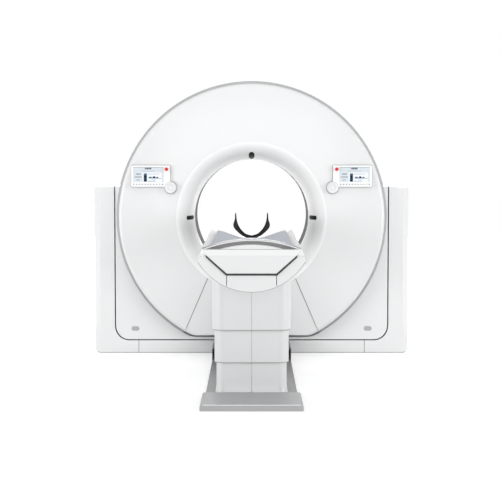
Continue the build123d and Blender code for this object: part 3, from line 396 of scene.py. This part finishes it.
panel_lacquer = lacquer("panel_lacquer", (0.88, 0.885, 0.89),
                        roughness=0.30, peel=0.004, edge=0.002, paint=rim_lines)
dress(panel_lacquer, "left_panel", "right_panel")
knob_lacquer = lacquer("knob_lacquer", (0.79, 0.795, 0.80),
                       roughness=0.28, peel=0.004, edge=0.0015, paint=knob_lines)
dress(knob_lacquer, "left_knob", "right_knob", "left_knob_button", "right_knob_button")
stop_red = lacquer("stop_red", (0.68, 0.012, 0.02),
                   roughness=0.35, peel=0.004, edge=0.001, coat=0.0, gloss=0.3)
dress(stop_red, "left_emergency_stop", "right_emergency_stop")

# Displays: a picture behind matt glass, set flush in each plate. It is painted in shares of the
# display's width and height, as plain bars where the real one has writing.

screen_low, screen_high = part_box("screens")
screen_x = 0.683
screen_width = 2 * (screen_high[0] - screen_x)
screen_middle_z = (screen_low[2] + screen_high[2]) / 2
screen_height = screen_high[2] - screen_low[2]
display, wire = open_finish("display_picture")
place = wire.place()
side_x, _, side_z = wire.axes(place)
across = (side_x - wire.maths("SIGN", side_x) * screen_x) * (1.0 / screen_width)
up = (side_z - screen_middle_z) * (1.0 / screen_height)


def area(left, right, top, bottom):
    """Mask of a rectangle on the display; its edges are shares of the width and height."""
    middle_u, middle_v = (left + right) / 2 - 0.5, 0.5 - (top + bottom) / 2
    return (abs(across - middle_u) < (right - left) / 2) * (abs(up - middle_v) < (bottom - top) / 2)


def dashes(mask, pitch, filled=0.72):
    """Break a mask into short dashes, so that it reads as a row of small marks."""
    return mask * (wire.maths("FRACT", across * (1.0 / pitch)) < filled)


ink = (0.002, 0.016, 0.045, 1.0)
slate = (0.10, 0.14, 0.19, 1.0)
pale = (0.36, 0.41, 0.46, 1.0)
steel = (0.09, 0.15, 0.21, 1.0)
deep = (0.08, 0.18, 0.26, 1.0)
sky = (0.62, 0.74, 0.86, 1.0)
glass = (0.69, 0.745, 0.79, 1.0)
bright = (0.86, 0.90, 0.94, 1.0)
picture = wire.mix(area(0.30, 0.93, 0.36, 0.99), glass, bright)
# A darker band of painted shade along the display's top edge, under the edge of the plate.
picture = wire.mix(area(0.0, 1.0, 0.0, 0.035), picture, pale)
for mask, colour in (
    (dashes(area(0.375, 0.60, 0.045, 0.155), 0.052), ink),
    (dashes(area(0.28, 0.70, 0.245, 0.285), 0.031), pale),
    (dashes(area(0.09, 0.25, 0.43, 0.50), 0.042), slate),
    (dashes(area(0.05, 0.28, 0.63, 0.69), 0.027), slate),
    (dashes(area(0.11, 0.21, 0.83, 0.88), 0.036), slate),
    (area(0.345, 0.445, 0.42, 0.965), ink),
    (area(0.35, 0.44, 0.43, 0.54), steel),
    (area(0.365, 0.425, 0.77, 0.80), deep),
    (dashes(area(0.47, 0.85, 0.445, 0.485), 0.023), pale),
    (area(0.50, 0.82, 0.70, 0.755), slate),
    (area(0.52, 0.60, 0.64, 0.70), slate),
    (area(0.64, 0.72, 0.62, 0.71), ink),
    (area(0.76, 0.81, 0.65, 0.71), ink),
    (area(0.82, 0.92, 0.735, 0.76), slate),
    (area(0.60, 0.74, 0.79, 0.86), sky),
    (dashes(area(0.46, 0.74, 0.915, 0.955), 0.029), slate),
):
    picture = wire.mix(mask, picture, colour)
close_finish(wire, {"Base Color": picture, "Roughness": wire.noise(place, 30.0) * 0.04 + 0.30,
                    "Specular IOR Level": 0.06})
dress(display, "screens")

# Membrane keys: eleven small raised keys of printed film, glued to the plate in a row under each
# display. The tenth is orange and the last is dark.

key_first = {"left": -0.781, "right": 0.591}
key_pitch = 0.019
key_count = 11
key_height = 1.1405
key_face = -0.4418
key_width, key_tall = 0.0075, 0.0078
key_corner = 0.0018
key_thick = 0.0012
key_tree = bpy.data.node_groups.new("key_row", "GeometryNodeTree")
key_tree.interface.new_socket("Geometry", in_out="OUTPUT", socket_type="NodeSocketGeometry")
for label, kind in (("Rows", "Geometry"), ("Count", "Int"), ("Pitch", "Float"), ("Width", "Float"),
                    ("Height", "Float"), ("Corner", "Float"), ("Thickness", "Float"),
                    ("Finish", "Material")):
    key_tree.interface.new_socket(label, in_out="INPUT", socket_type="NodeSocket" + kind)
wire = Wire(key_tree, family="GeometryNode")
row = wire.add("NodeGroupInput")
outline = wire.add("CurvePrimitiveQuadrilateral", None,
                   {"Width": row.other("Width"), "Height": row.other("Height")})
soft = wire.add("FilletCurve", {"mode": "POLY"},
                {"Curve": outline, "Radius": row.other("Corner"), "Count": 3})
sheet = wire.add("FillCurve", None, {"Curve": soft})
raised = wire.add("ExtrudeMesh", None, {"Mesh": sheet, "Offset Scale": row.other("Thickness")})
back = wire.add("FlipFaces", None, {"Mesh": sheet})
shut = wire.add("JoinGeometry", None, {"Geometry": raised})
key_tree.links.new(back.socket, shut.socket.node.inputs["Geometry"])
whole = wire.add("MergeByDistance", None, {"Geometry": shut, "Distance": 0.00001})
upright = wire.add("Transform", None, {"Geometry": whole, "Rotation": (pi / 2, 0.0, 0.0)})
step = wire.add("ShaderNodeCombineXYZ", None, {"X": row.other("Pitch")})
steps = wire.add("MeshLine", None, {"Count": row.other("Count"), "Offset": step})
keys_in_row = wire.add("InstanceOnPoints", None, {"Points": steps, "Instance": upright})
rows = wire.add("InstanceOnPoints", None, {"Points": row, "Instance": keys_in_row})
real = wire.add("RealizeInstances", None, {"Geometry": rows})
done = wire.add("SetMaterial", None, {"Geometry": real, "Material": row.other("Finish")})
wire.add("NodeGroupOutput", None, {"Geometry": done})


def key_colours(wire, place, tone):
    """The tenth key of each row is orange and the last one dark."""
    x, _, _ = wire.axes(place)
    for index, colour in ((9, (0.55, 0.36, 0.18, 1.0)), (10, (0.10, 0.10, 0.11, 1.0))):
        for first in key_first.values():
            tone = wire.mix(abs(x - (first + index * key_pitch)) < key_pitch / 2, tone, colour)
    return tone


key_finish = lacquer("key_finish", (0.27, 0.30, 0.36),
                     roughness=0.45, peel=0.01, edge=0.0004, paint=key_colours)
key_mesh = bpy.data.meshes.new("key_rows")
key_mesh.from_pydata([(first, key_face, key_height) for first in key_first.values()], [], [])
keys = grown("panel_keys", key_tree, key_mesh,
             {"Count": key_count, "Pitch": key_pitch, "Width": key_width, "Height": key_tall,
              "Corner": key_corner, "Thickness": key_thick, "Finish": key_finish})
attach(keys, "gantry")

# Table foot and column: a grey lacquered floor plate and foot cover, bolted to the floor, with a pale
# metal strip of painted highlight along the cover's front top edge, a dark floor duct, and a
# telescopic column of three nested mouldings with lines of painted shade under their steps.

plate_paint = lacquer("plate_paint", (0.27, 0.273, 0.277), roughness=0.45, peel=0.03, edge=0.002)
dress(plate_paint, "table_base_plate")
foot_paint = lacquer("foot_paint", (0.40, 0.403, 0.41), roughness=0.40, peel=0.02, edge=0.004)
dress(foot_paint, "foot_cover")
duct_paint = lacquer("duct_paint", (0.06, 0.06, 0.065), roughness=0.5, peel=0.03, edge=0.003)
dress(duct_paint, "floor_duct")
# Painted shade: the column covers carry a darker white than the gantry covers, for the shade under the
# table.
column_shaded_white = (0.70, 0.704, 0.71)
dress(lacquer("column_lacquer", column_shaded_white, **satin), "lower_column_cover")
# Painted shade: a grey line along the lower edges of the middle and upper sleeves, where they step out.
for name in ("middle_column_cover", "upper_column_cover"):
    shade_line = painted_shade_line(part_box(name)[0][2], width=0.005, grey=0.36)
    dress(lacquer(name + "_lacquer", column_shaded_white, **satin, paint=shade_line), name)

# Painted highlight: a pale metal strip along the foot cover's front top edge, where its bevel catches
# the light.
edge_highlight_metal = metal("edge_highlight_metal", (0.72, 0.72, 0.73), roughness=0.34)
foot_low, foot_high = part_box("foot_cover")
edge_highlight_radius = 0.0028
edge_highlight_inset = 0.016
edge_highlight_end = foot_high[0] - edge_highlight_inset
edge_highlight_line = [(end * edge_highlight_end, foot_low[1] + edge_highlight_radius, foot_high[2] - edge_highlight_radius)
               for end in (-1, 1)]
bead("foot_edge_highlight", [edge_highlight_line], edge_highlight_radius, edge_highlight_metal, "floor_stand", "plate_grey")

# Table body: three lacquered mouldings, screwed to the table frame round a black plastic trough. A
# grey line of painted shade edges the rounded foot end.

bowl_half, bowl_side, bowl_bottom = 0.270, 0.791, 0.638
bowl_drop = bowl_side - bowl_bottom
bowl_radius = (bowl_half ** 2 + bowl_drop ** 2) / (2 * bowl_drop)
# Painted shade along the lower rounded edge of the body's foot end.
bowl_face = -2.7265
bowl_shade_width = 0.0034
bowl_shade_grey = (0.40, 0.40, 0.405, 1.0)


def bowl_shade_line(wire, place, tone):
    """Painted shade: a grey line along the rounded lower edge of the body's foot end."""
    x, y, z = wire.axes(place)
    radius = wire.length(x, z - (bowl_bottom + bowl_radius))
    edge = (y < bowl_face) * (z < bowl_side) * (radius > bowl_radius - bowl_shade_width)
    return wire.mix(edge, tone, bowl_shade_grey)


# Painted shade: the table body and hull carry a darker white than the gantry covers, to offset the
# lamps.
body_shaded_white = (0.73, 0.735, 0.74)
body_lacquer = lacquer("body_lacquer", body_shaded_white, **satin, paint=bowl_shade_line)
dress(body_lacquer, "left_body_cover", "right_body_cover", "centre_body_cover")
liner_black = lacquer("liner_black", (0.012, 0.012, 0.013), roughness=0.55, peel=0.05, edge=0.001)
dress(liner_black, "trough_liner")


def moulded(name, shape, finish):
    """A new piece with the shape that was built up in a bmesh."""
    bmesh.ops.recalc_face_normals(shape, faces=shape.faces)
    mesh = bpy.data.meshes.new(name)
    shape.to_mesh(mesh)
    shape.free()
    mesh.materials.append(finish)
    piece = bpy.data.objects.new(name, mesh)
    bpy.context.scene.collection.objects.link(piece)
    return piece


def close_ring(shape, near, far):
    """Join two loops of four points by four faces."""
    for i in range(4):
        after = (i + 1) % 4
        shape.faces.new((near[i], near[after], far[after], far[i]))


# Lip seal: black extruded rubber, clipped to the foot end of the trough, between the table body and
# the hull that slides in it.

seal_high, seal_low = (0.2255, 0.8206), (0.1262, 0.7305)
seal_width = 0.0066
seal_back, seal_front = -2.7295, -2.7342
seal = bmesh.new()
inner = [(-seal_high[0], seal_high[1]), (-seal_low[0], seal_low[1]), seal_low, seal_high]
slope = Vector((seal_high[0] - seal_low[0], seal_high[1] - seal_low[1])).normalized()
out_x, out_z = slope.y * seal_width, slope.x * seal_width
knee = seal_width * (1 - slope.x) / slope.y
outer = [(inner[0][0] - out_x, inner[0][1] - out_z), (inner[1][0] - knee, inner[1][1] - seal_width),
         (inner[2][0] + knee, inner[2][1] - seal_width), (inner[3][0] + out_x, inner[3][1] - out_z)]
corners = [[seal.verts.new((x, y, z)) for y, (x, z) in
            ((seal_front, near), (seal_front, far), (seal_back, far), (seal_back, near))]
           for near, far in zip(inner, outer)]
for near, far in zip(corners, corners[1:]):
    close_ring(seal, near, far)
for end in (corners[0], corners[-1]):
    seal.faces.new(end)
trough_seal = moulded("trough_seal", seal, liner_black)
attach(trough_seal, "table_top")

# Cradle: a carbon shell in a lacquered skin, on the rails of the trough. Its foot end is a bonded
# hull-shaped cap with a raised crown, under an arched hoop with a grey line on its upper edge and
# painted shade along its lower edge.

hull_top, top_line, top_half = 0.856, 0.0017, 0.236
hull_fold, fold_line = 0.823, 0.0014
hull_face = -2.7362
# Painted light on the hull's band above the fold, and painted shade along the fold.
band_lit_white = (0.78, 0.785, 0.79, 1.0)
fold_shade_grey = (0.68, 0.68, 0.69, 1.0)
joint_grey = (0.34, 0.34, 0.345, 1.0)


def hull_lines(wire, place, tone):
    """Joint under the crown; painted light above the fold, painted shade along it; front only."""
    x, y, z = wire.axes(place)
    front = y < hull_face
    upper = wire.mix(front * (z > hull_fold) * (z < hull_top), tone, band_lit_white)
    fold_shaded = wire.mix(front * (abs(z - hull_fold) < fold_line), upper, fold_shade_grey)
    joint = front * (abs(z - hull_top) < top_line) * (abs(x) < top_half)
    return wire.mix(joint, fold_shaded, joint_grey)


hull_lacquer = lacquer("hull_lacquer", body_shaded_white, **satin, paint=hull_lines)
dress(hull_lacquer, "hull_cap")
shell_lacquer = lacquer("shell_lacquer", (0.84, 0.84, 0.835),
                        roughness=0.6, peel=0.02, edge=0.002, coat=0.0, gloss=0.1)
dress(shell_lacquer, "cradle_shell")

hoop_rise, hoop_half = 0.048, 0.251
hoop_radius = (hoop_half ** 2 + hoop_rise ** 2) / (2 * hoop_rise)
hoop_centre = hull_top + hoop_rise - hoop_radius
# The hoop's lower band is painted shade, where its underside falls in shadow.
hoop_skin, hoop_shade_band = 0.0024, 0.0072
hoop_line_and_shade_grey = (0.24, 0.24, 0.245, 1.0)


def hoop_lines(wire, place, tone):
    """A grey line on the hoop's upper face, and painted shade along its lower edge."""
    x, _, z = wire.axes(place)
    radius = wire.length(x, z - hoop_centre)
    topped = wire.mix(radius > hoop_radius - hoop_skin, tone, hoop_line_and_shade_grey)
    return wire.mix(radius < hoop_radius - hoop_shade_band, topped, hoop_line_and_shade_grey)


hoop_lacquer = lacquer("hoop_lacquer", cover_white,
                       roughness=0.38, peel=0.010, edge=0.001, paint=hoop_lines)
dress(hoop_lacquer, "foot_hoop")

# Shade sheet of the cradle: a dark grey sheet that stands for the shade in the arch between the
# crown and the hoop, set behind them on the cradle.

shade_sheet_grey = lacquer("shade_sheet_grey", (0.27, 0.27, 0.275),
                         roughness=0.55, peel=0.04, edge=0.001)
shade_sheet_front, shade_sheet_back = -2.687, -2.684
shade_sheet_half = 0.222
shade_sheet_steps = 48
shade_sheet_least = 0.001
shade_sheet_inside = 0.0105
shade_sheet_radius = hoop_radius - shade_sheet_inside
crown_half, crown_rise = 0.161, 0.023
crown_radius = (crown_half ** 2 + crown_rise ** 2) / (2 * crown_rise)
crown_centre = hull_top + crown_rise - crown_radius
shade_sheet = bmesh.new()
columns = []
for i in range(shade_sheet_steps + 1):
    x = shade_sheet_half * (2 * i / shade_sheet_steps - 1)
    crown = crown_centre + sqrt(crown_radius ** 2 - x * x) if abs(x) < crown_half else hull_top
    low = max(hull_top, crown) - shade_sheet_least
    high = max(hoop_centre + sqrt(shade_sheet_radius ** 2 - x * x), low + shade_sheet_least)
    columns.append([shade_sheet.verts.new((x, y, z)) for y, z in
                    ((shade_sheet_front, low), (shade_sheet_front, high),
                     (shade_sheet_back, high), (shade_sheet_back, low))])
for near, far in zip(columns, columns[1:]):
    close_ring(shade_sheet, near, far)
for column in (columns[0], columns[-1]):
    shade_sheet.faces.new(column)
cradle_shade_sheet = moulded("cradle_shade_sheet", shade_sheet, shade_sheet_grey)
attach(cradle_shade_sheet, "cradle")

# Head holder: a black moulded foam cup on a carbon shell, thick at its lower flanks and thin at its
# tips, whose tongue plugs into the head end of the cradle.


def smooth_line(points, steps):
    """Points of a smooth curve through the given ones."""
    ends = [points[0]] + list(points) + [points[-1]]
    line = []
    for before, start, stop, after in zip(ends, ends[1:], ends[2:], ends[3:]):
        for i in range(steps):
            t = i / steps
            line.append(tuple(
                0.5 * (2 * b + (c - a) * t + (2 * a - 5 * b + 4 * c - d) * t * t
                       + (3 * b - a - 3 * c + d) * t ** 3)
                for a, b, c, d in zip(before, start, stop, after)))
    return line + [points[-1]]


holder_black = lacquer("holder_black", (0.04, 0.04, 0.042),
                       roughness=0.7, peel=0.08, edge=0.001, coat=0.0, gloss=0.0)
cup_outside = ((0.1062, 0.9549), (0.1062, 0.935), (0.1095, 0.915), (0.1165, 0.894), (0.1145, 0.877),
               (0.1040, 0.860), (0.078, 0.8350), (0.044, 0.8125), (0.0, 0.7995))
cup_inside = ((0.1032, 0.9549), (0.1022, 0.936), (0.1005, 0.917), (0.0975, 0.899), (0.0915, 0.880),
              (0.0820, 0.860), (0.064, 0.8360), (0.037, 0.8140), (0.0, 0.8035))
cup_steps = 6
cup_stations = ((-0.8195, 1.0), (-0.800, 1.0), (-0.700, 1.0), (-0.600, 0.998), (-0.520, 0.993),
                (-0.4805, 0.987))
tongue_box = (-0.0597, -0.9997, 0.7653), (0.0597, -0.7900, 0.7767)
riser_box = (-0.0597, -0.8197, 0.7767), (0.0597, -0.7900, 0.8030)
cup = bmesh.new()
cup_sides = []
for profile in (cup_outside, cup_inside):
    right = smooth_line(profile, cup_steps)
    cup_sides.append([(-x, z) for x, z in right] + [(x, z) for x, z in reversed(right[:-1])])
cup_rings = [[[cup.verts.new((x * share, y, z)) for x, z in line] for line in cup_sides]
             for y, share in cup_stations]
for (near_out, near_in), (far_out, far_in) in zip(cup_rings, cup_rings[1:]):
    for i in range(len(near_out) - 1):
        cup.faces.new((near_out[i], near_out[i + 1], far_out[i + 1], far_out[i]))
        cup.faces.new((near_in[i + 1], near_in[i], far_in[i], far_in[i + 1]))
    for i in (0, -1):
        cup.faces.new((near_out[i], near_in[i], far_in[i], far_out[i]))
for outer_line, inner_line in (cup_rings[0], cup_rings[-1]):
    for i in range(len(outer_line) - 1):
        cup.faces.new((outer_line[i], outer_line[i + 1], inner_line[i + 1], inner_line[i]))
for low, high in (tongue_box, riser_box):
    for corner in bmesh.ops.create_cube(cup, size=1.0)["verts"]:
        corner.co = Vector(b if part > 0 else a for a, b, part in zip(low, high, corner.co))
for face in cup.faces:
    face.smooth = True
head_cup = moulded("head_cup", cup, holder_black)
rounding = head_cup.modifiers.new("rounding", "BEVEL")
rounding.width = 0.0012
rounding.segments = 2
rounding.limit_method = "ANGLE"
rounding.angle_limit = radians(50)
rounding.harden_normals = True
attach(head_cup, "cradle")
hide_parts("head_holder")

# Mattress: a long foam pad in a welded vinyl cover, dished to lie in the cradle, with piping in the
# welt round its edge. Its cover is filled by a short cloth simulation with the underside held.

vinyl, wire = open_finish("mattress_vinyl")
place = wire.place()
grain = wire.add("TexVoronoi", {"feature": "DISTANCE_TO_EDGE"}, {"Vector": place, "Scale": 700.0})
tone = wire.mix(wire.noise(place, 5.0), (0.47, 0.495, 0.55, 1.0), (0.51, 0.535, 0.59, 1.0))
stretched = wire.add("Mapping", None, {"Vector": place, "Scale": (1.0, 3.0, 1.0)})
soft = wire.add("Bump", None, {"Strength": 0.10, "Distance": 0.004,
                               "Height": wire.noise(stretched, 9.0, 3.0)})
bump = wire.add("Bump", None, {"Strength": 0.12, "Distance": 0.0006, "Height": grain, "Normal": soft})
close_finish(wire, {"Base Color": tone, "Roughness": wire.noise(place, 40.0) * 0.12 + 0.60,
                    "Normal": bump, "Specular IOR Level": 0.1})

pad_half = 0.2185
pad_head, pad_foot = -0.8245, -2.6095
pad_middle = (pad_head + pad_foot) / 2
pad_reach = (pad_head - pad_foot) / 2
pad_corner = 0.030
pad_columns, pad_rows = 44, 150
pad_crowding = 0.35
pad_side_power, pad_end_power = 14, 50
pad_welt = 0.45
pad_resting = 0.4
cradle_floor = 0.7904
cradle_bend = 0.4989
pad_dip = 0.8085
pad_slope = 0.372
pad_knee = 0.075
pad_blend = 0.02
pad_cap = 0.003
cloth_frames = 20


def pad_base(x):
    """Height of the cradle's inner face."""
    return cradle_floor + cradle_bend - sqrt(cradle_bend ** 2 - x * x)


def pad_top(x):
    """Height of the filled pad: low and flat in the middle, rising to both shoulders."""
    past = abs(x) - pad_knee
    return pad_dip + pad_slope * 0.5 * (past + hypot(past, pad_blend))


def pad_welt_height(x):
    """Height of the welt, where the upper and lower sheets of the cover meet."""
    return pad_base(x) + pad_welt * (pad_top(x) - pad_base(x))


def pad_place(across, along):
    """Plan position for shares from -1 to 1, with the corners of the outline rounded."""
    x, y = pad_half * across, pad_reach * along
    over_x, over_y = abs(x) - (pad_half - pad_corner), abs(y) - (pad_reach - pad_corner)
    if over_x > 0 and over_y > 0:
        share = max(over_x, over_y) / hypot(over_x, over_y)
        x = (pad_half - pad_corner + over_x * share) * (1 if x > 0 else -1)
        y = (pad_reach - pad_corner + over_y * share) * (1 if y > 0 else -1)
    return x, pad_middle + y


def pad_point(column, row, upper):
    """A point of the pad's cover, and how far it is from the welt, from 0 to 1."""
    across = sin(pi / 2 * (2 * column / pad_columns - 1))
    along = 2 * row / pad_rows - 1
    if abs(along) < 1:
        along += pad_crowding * sin(pi * along) / pi
    x, y = pad_place(across, along)
    fullness = sqrt((1 - abs(across) ** pad_side_power) * (1 - abs(along) ** pad_end_power))
    rise = (1 - pad_welt if upper else -pad_welt) * (pad_top(x) - pad_base(x))
    return (x, y, pad_welt_height(x) + rise * fullness), fullness


pad = bmesh.new()
resting = pad.verts.layers.int.new("resting")
for upper in (True, False):
    grid = []
    for row in range(pad_rows + 1):
        line = []
        for column in range(pad_columns + 1):
            point, fullness = pad_point(column, row, upper)
            line.append(pad.verts.new(point))
            line[-1][resting] = int(not upper and fullness > pad_resting)
        grid.append(line)
    for near, far in zip(grid, grid[1:]):
        for i in range(pad_columns):
            pad.faces.new((near[i], near[i + 1], far[i + 1], far[i]))
bmesh.ops.remove_doubles(pad, verts=pad.verts, dist=0.00001)
for face in pad.faces:
    face.smooth = True
pad.verts.index_update()
held_points = [vertex.index for vertex in pad.verts if vertex[resting]]
pad.verts.layers.int.remove(resting)
mattress_pad = moulded("mattress_pad", pad, vinyl)
under = mattress_pad.vertex_groups.new(name="underside")
under.add(held_points, 1.0, "REPLACE")
cloth = mattress_pad.modifiers.new("filling", "CLOTH")
cloth.settings.vertex_group_mass = "underside"
cloth.settings.use_pressure = True
cloth.settings.uniform_pressure_force = 4.0
cloth.settings.effector_weights.gravity = 0.0
cloth.settings.tension_stiffness = 40.0
cloth.settings.compression_stiffness = 40.0
cloth.settings.bending_stiffness = 2.0
for moment in range(1, cloth_frames + 1):
    bpy.context.scene.frame_set(moment)
filled = mattress_pad.evaluated_get(bpy.context.evaluated_depsgraph_get()).data
moves = [after.co - before.co for after, before in zip(filled.vertices, mattress_pad.data.vertices)]
mattress_pad.modifiers.remove(cloth)
mattress_pad.vertex_groups.clear()
for vertex, move in zip(mattress_pad.data.vertices, moves):
    vertex.co += move * min(1.0, pad_cap / max(move.length, 0.00001))
bpy.context.scene.frame_set(1)
finer = mattress_pad.modifiers.new("finer", "SUBSURF")
finer.levels = finer.render_levels = 1
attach(mattress_pad, "cradle")
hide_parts("mattress")

piping_inset = 0.0012
piping_radius = 0.0021
piping_across, piping_along = 24, 90
piping_path = []
pad_corners = ((-1, -1), (1, -1), (1, 1), (-1, 1))
for (u, v), (next_u, next_v) in zip(pad_corners, pad_corners[1:] + pad_corners[:1]):
    steps_here = piping_across if v == next_v else piping_along
    for i in range(steps_here):
        across = u + (next_u - u) * i / steps_here
        along = v + (next_v - v) * i / steps_here
        x, y = pad_place(across, along)
        piping_path.append((x - piping_inset * across, y - piping_inset * along, pad_welt_height(x)))
piping_vinyl = lacquer("piping_vinyl", (0.42, 0.435, 0.50), roughness=0.5, peel=0.05, edge=0.0005)
bead("mattress_piping", [piping_path], piping_radius, piping_vinyl, "cradle", "mattress_vinyl",
     closed=True)

# Studio: a pale floor and surround that the camera, mirrors and glass see as white, and large soft
# lamps far to the sides, in front, above and behind.


def seen_directly(wire):
    """1 for what the camera, a reflection or clear glass shows, and 0 for what only sheds light."""
    ray = wire.add("LightPath", None, None, output="Is Camera Ray")
    glossy = wire.maths("MAXIMUM", ray, ray.other("Is Glossy Ray"))
    return wire.maths("MAXIMUM", glossy, ray.other("Is Transmission Ray"))


floor_white, wire = open_finish("floor_white")
paint = wire.add("BsdfDiffuse", None, {"Color": (0.88, 0.88, 0.88, 1.0)})
floor_x, floor_y, _ = wire.axes(wire.place())
floor_middle, floor_near = -1.2, 2.2
near_glow, far_glow = 0.36, 0.96
distance = wire.length(floor_x, floor_y - floor_middle)
away = (distance - floor_near).clamped()
glow = wire.add("Emission", None, {
    "Color": (1.0, 1.0, 1.0, 1.0),
    "Strength": seen_directly(wire) * (away * (far_glow - near_glow) + near_glow)})
wire.add("OutputMaterial", None, {"Surface": wire.add("AddShader", None, {0: paint, 1: glow})})
floor_mesh = bpy.data.meshes.new("studio_floor")
floor_reach = 14.0
floor_corners = [(floor_reach * x, floor_reach * y, 0) for x, y in ((-1, -1), (1, -1), (1, 1), (-1, 1))]
floor_mesh.from_pydata(floor_corners, [], [(0, 1, 2, 3)])
floor_mesh.materials.append(floor_white)
studio_floor = bpy.data.objects.new("studio_floor", floor_mesh)
bpy.context.scene.collection.objects.link(studio_floor)

world = bpy.data.worlds.new("studio_surround")
bpy.context.scene.world = world
world.use_nodes = True
world.node_tree.nodes.clear()
wire = Wire(world.node_tree)
shed_light = 0.60
surround = wire.add("Background", None, {
    "Color": (1.0, 1.0, 1.0, 1.0),
    "Strength": seen_directly(wire) * (1.0 - shed_light) + shed_light})
wire.add("OutputWorld", None, {"Surface": surround})


def soft_lamp(name, place, target, size, power):
    """A large square lamp that looks at a point."""
    lamp = bpy.data.lights.new(name, "AREA")
    lamp.size = size
    lamp.energy = power
    holder = bpy.data.objects.new(name, lamp)
    holder.location = place
    holder.rotation_euler = (Vector(target) - Vector(place)).to_track_quat("-Z", "Y").to_euler()
    bpy.context.scene.collection.objects.link(holder)


soft_lamp("left_lamp", (-13.0, -7.0, 1.2), (0, -0.8, 0.9), size=6.0, power=950)
soft_lamp("right_lamp", (13.0, -7.0, 1.2), (0, -0.8, 0.9), size=6.0, power=950)
soft_lamp("front_lamp", (0.0, -25.0, 1.2), (0, -0.5, 0.9), size=9.0, power=1150)
soft_lamp("top_lamp", (0.0, -4.0, 8.0), (0, -0.6, 0.9), size=6.0, power=80)
soft_lamp("back_lamp", (0.5, 12.0, 4.5), (0, 0, 0.9), size=6.0, power=450)

# Camera at the photograph's viewing angle: far off on the centre line, looking slightly down.

frame_pixels = 500
focal_pixels = 1400
view_distance = 9.73
view_height = 1.305
pitch_down = 3.7
centre_offset = 1.6
camera = bpy.data.cameras.new("camera")
camera.sensor_width = 36
camera.lens = focal_pixels / frame_pixels * camera.sensor_width
camera.shift_x = -centre_offset / frame_pixels
camera.clip_end = 100
viewer = bpy.data.objects.new("camera", camera)
viewer.location = (0, -view_distance, view_height)
viewer.rotation_euler = (radians(90 - pitch_down), 0, 0)
bpy.context.scene.collection.objects.link(viewer)
bpy.context.scene.camera = viewer
bpy.context.scene.view_settings.view_transform = "Standard"
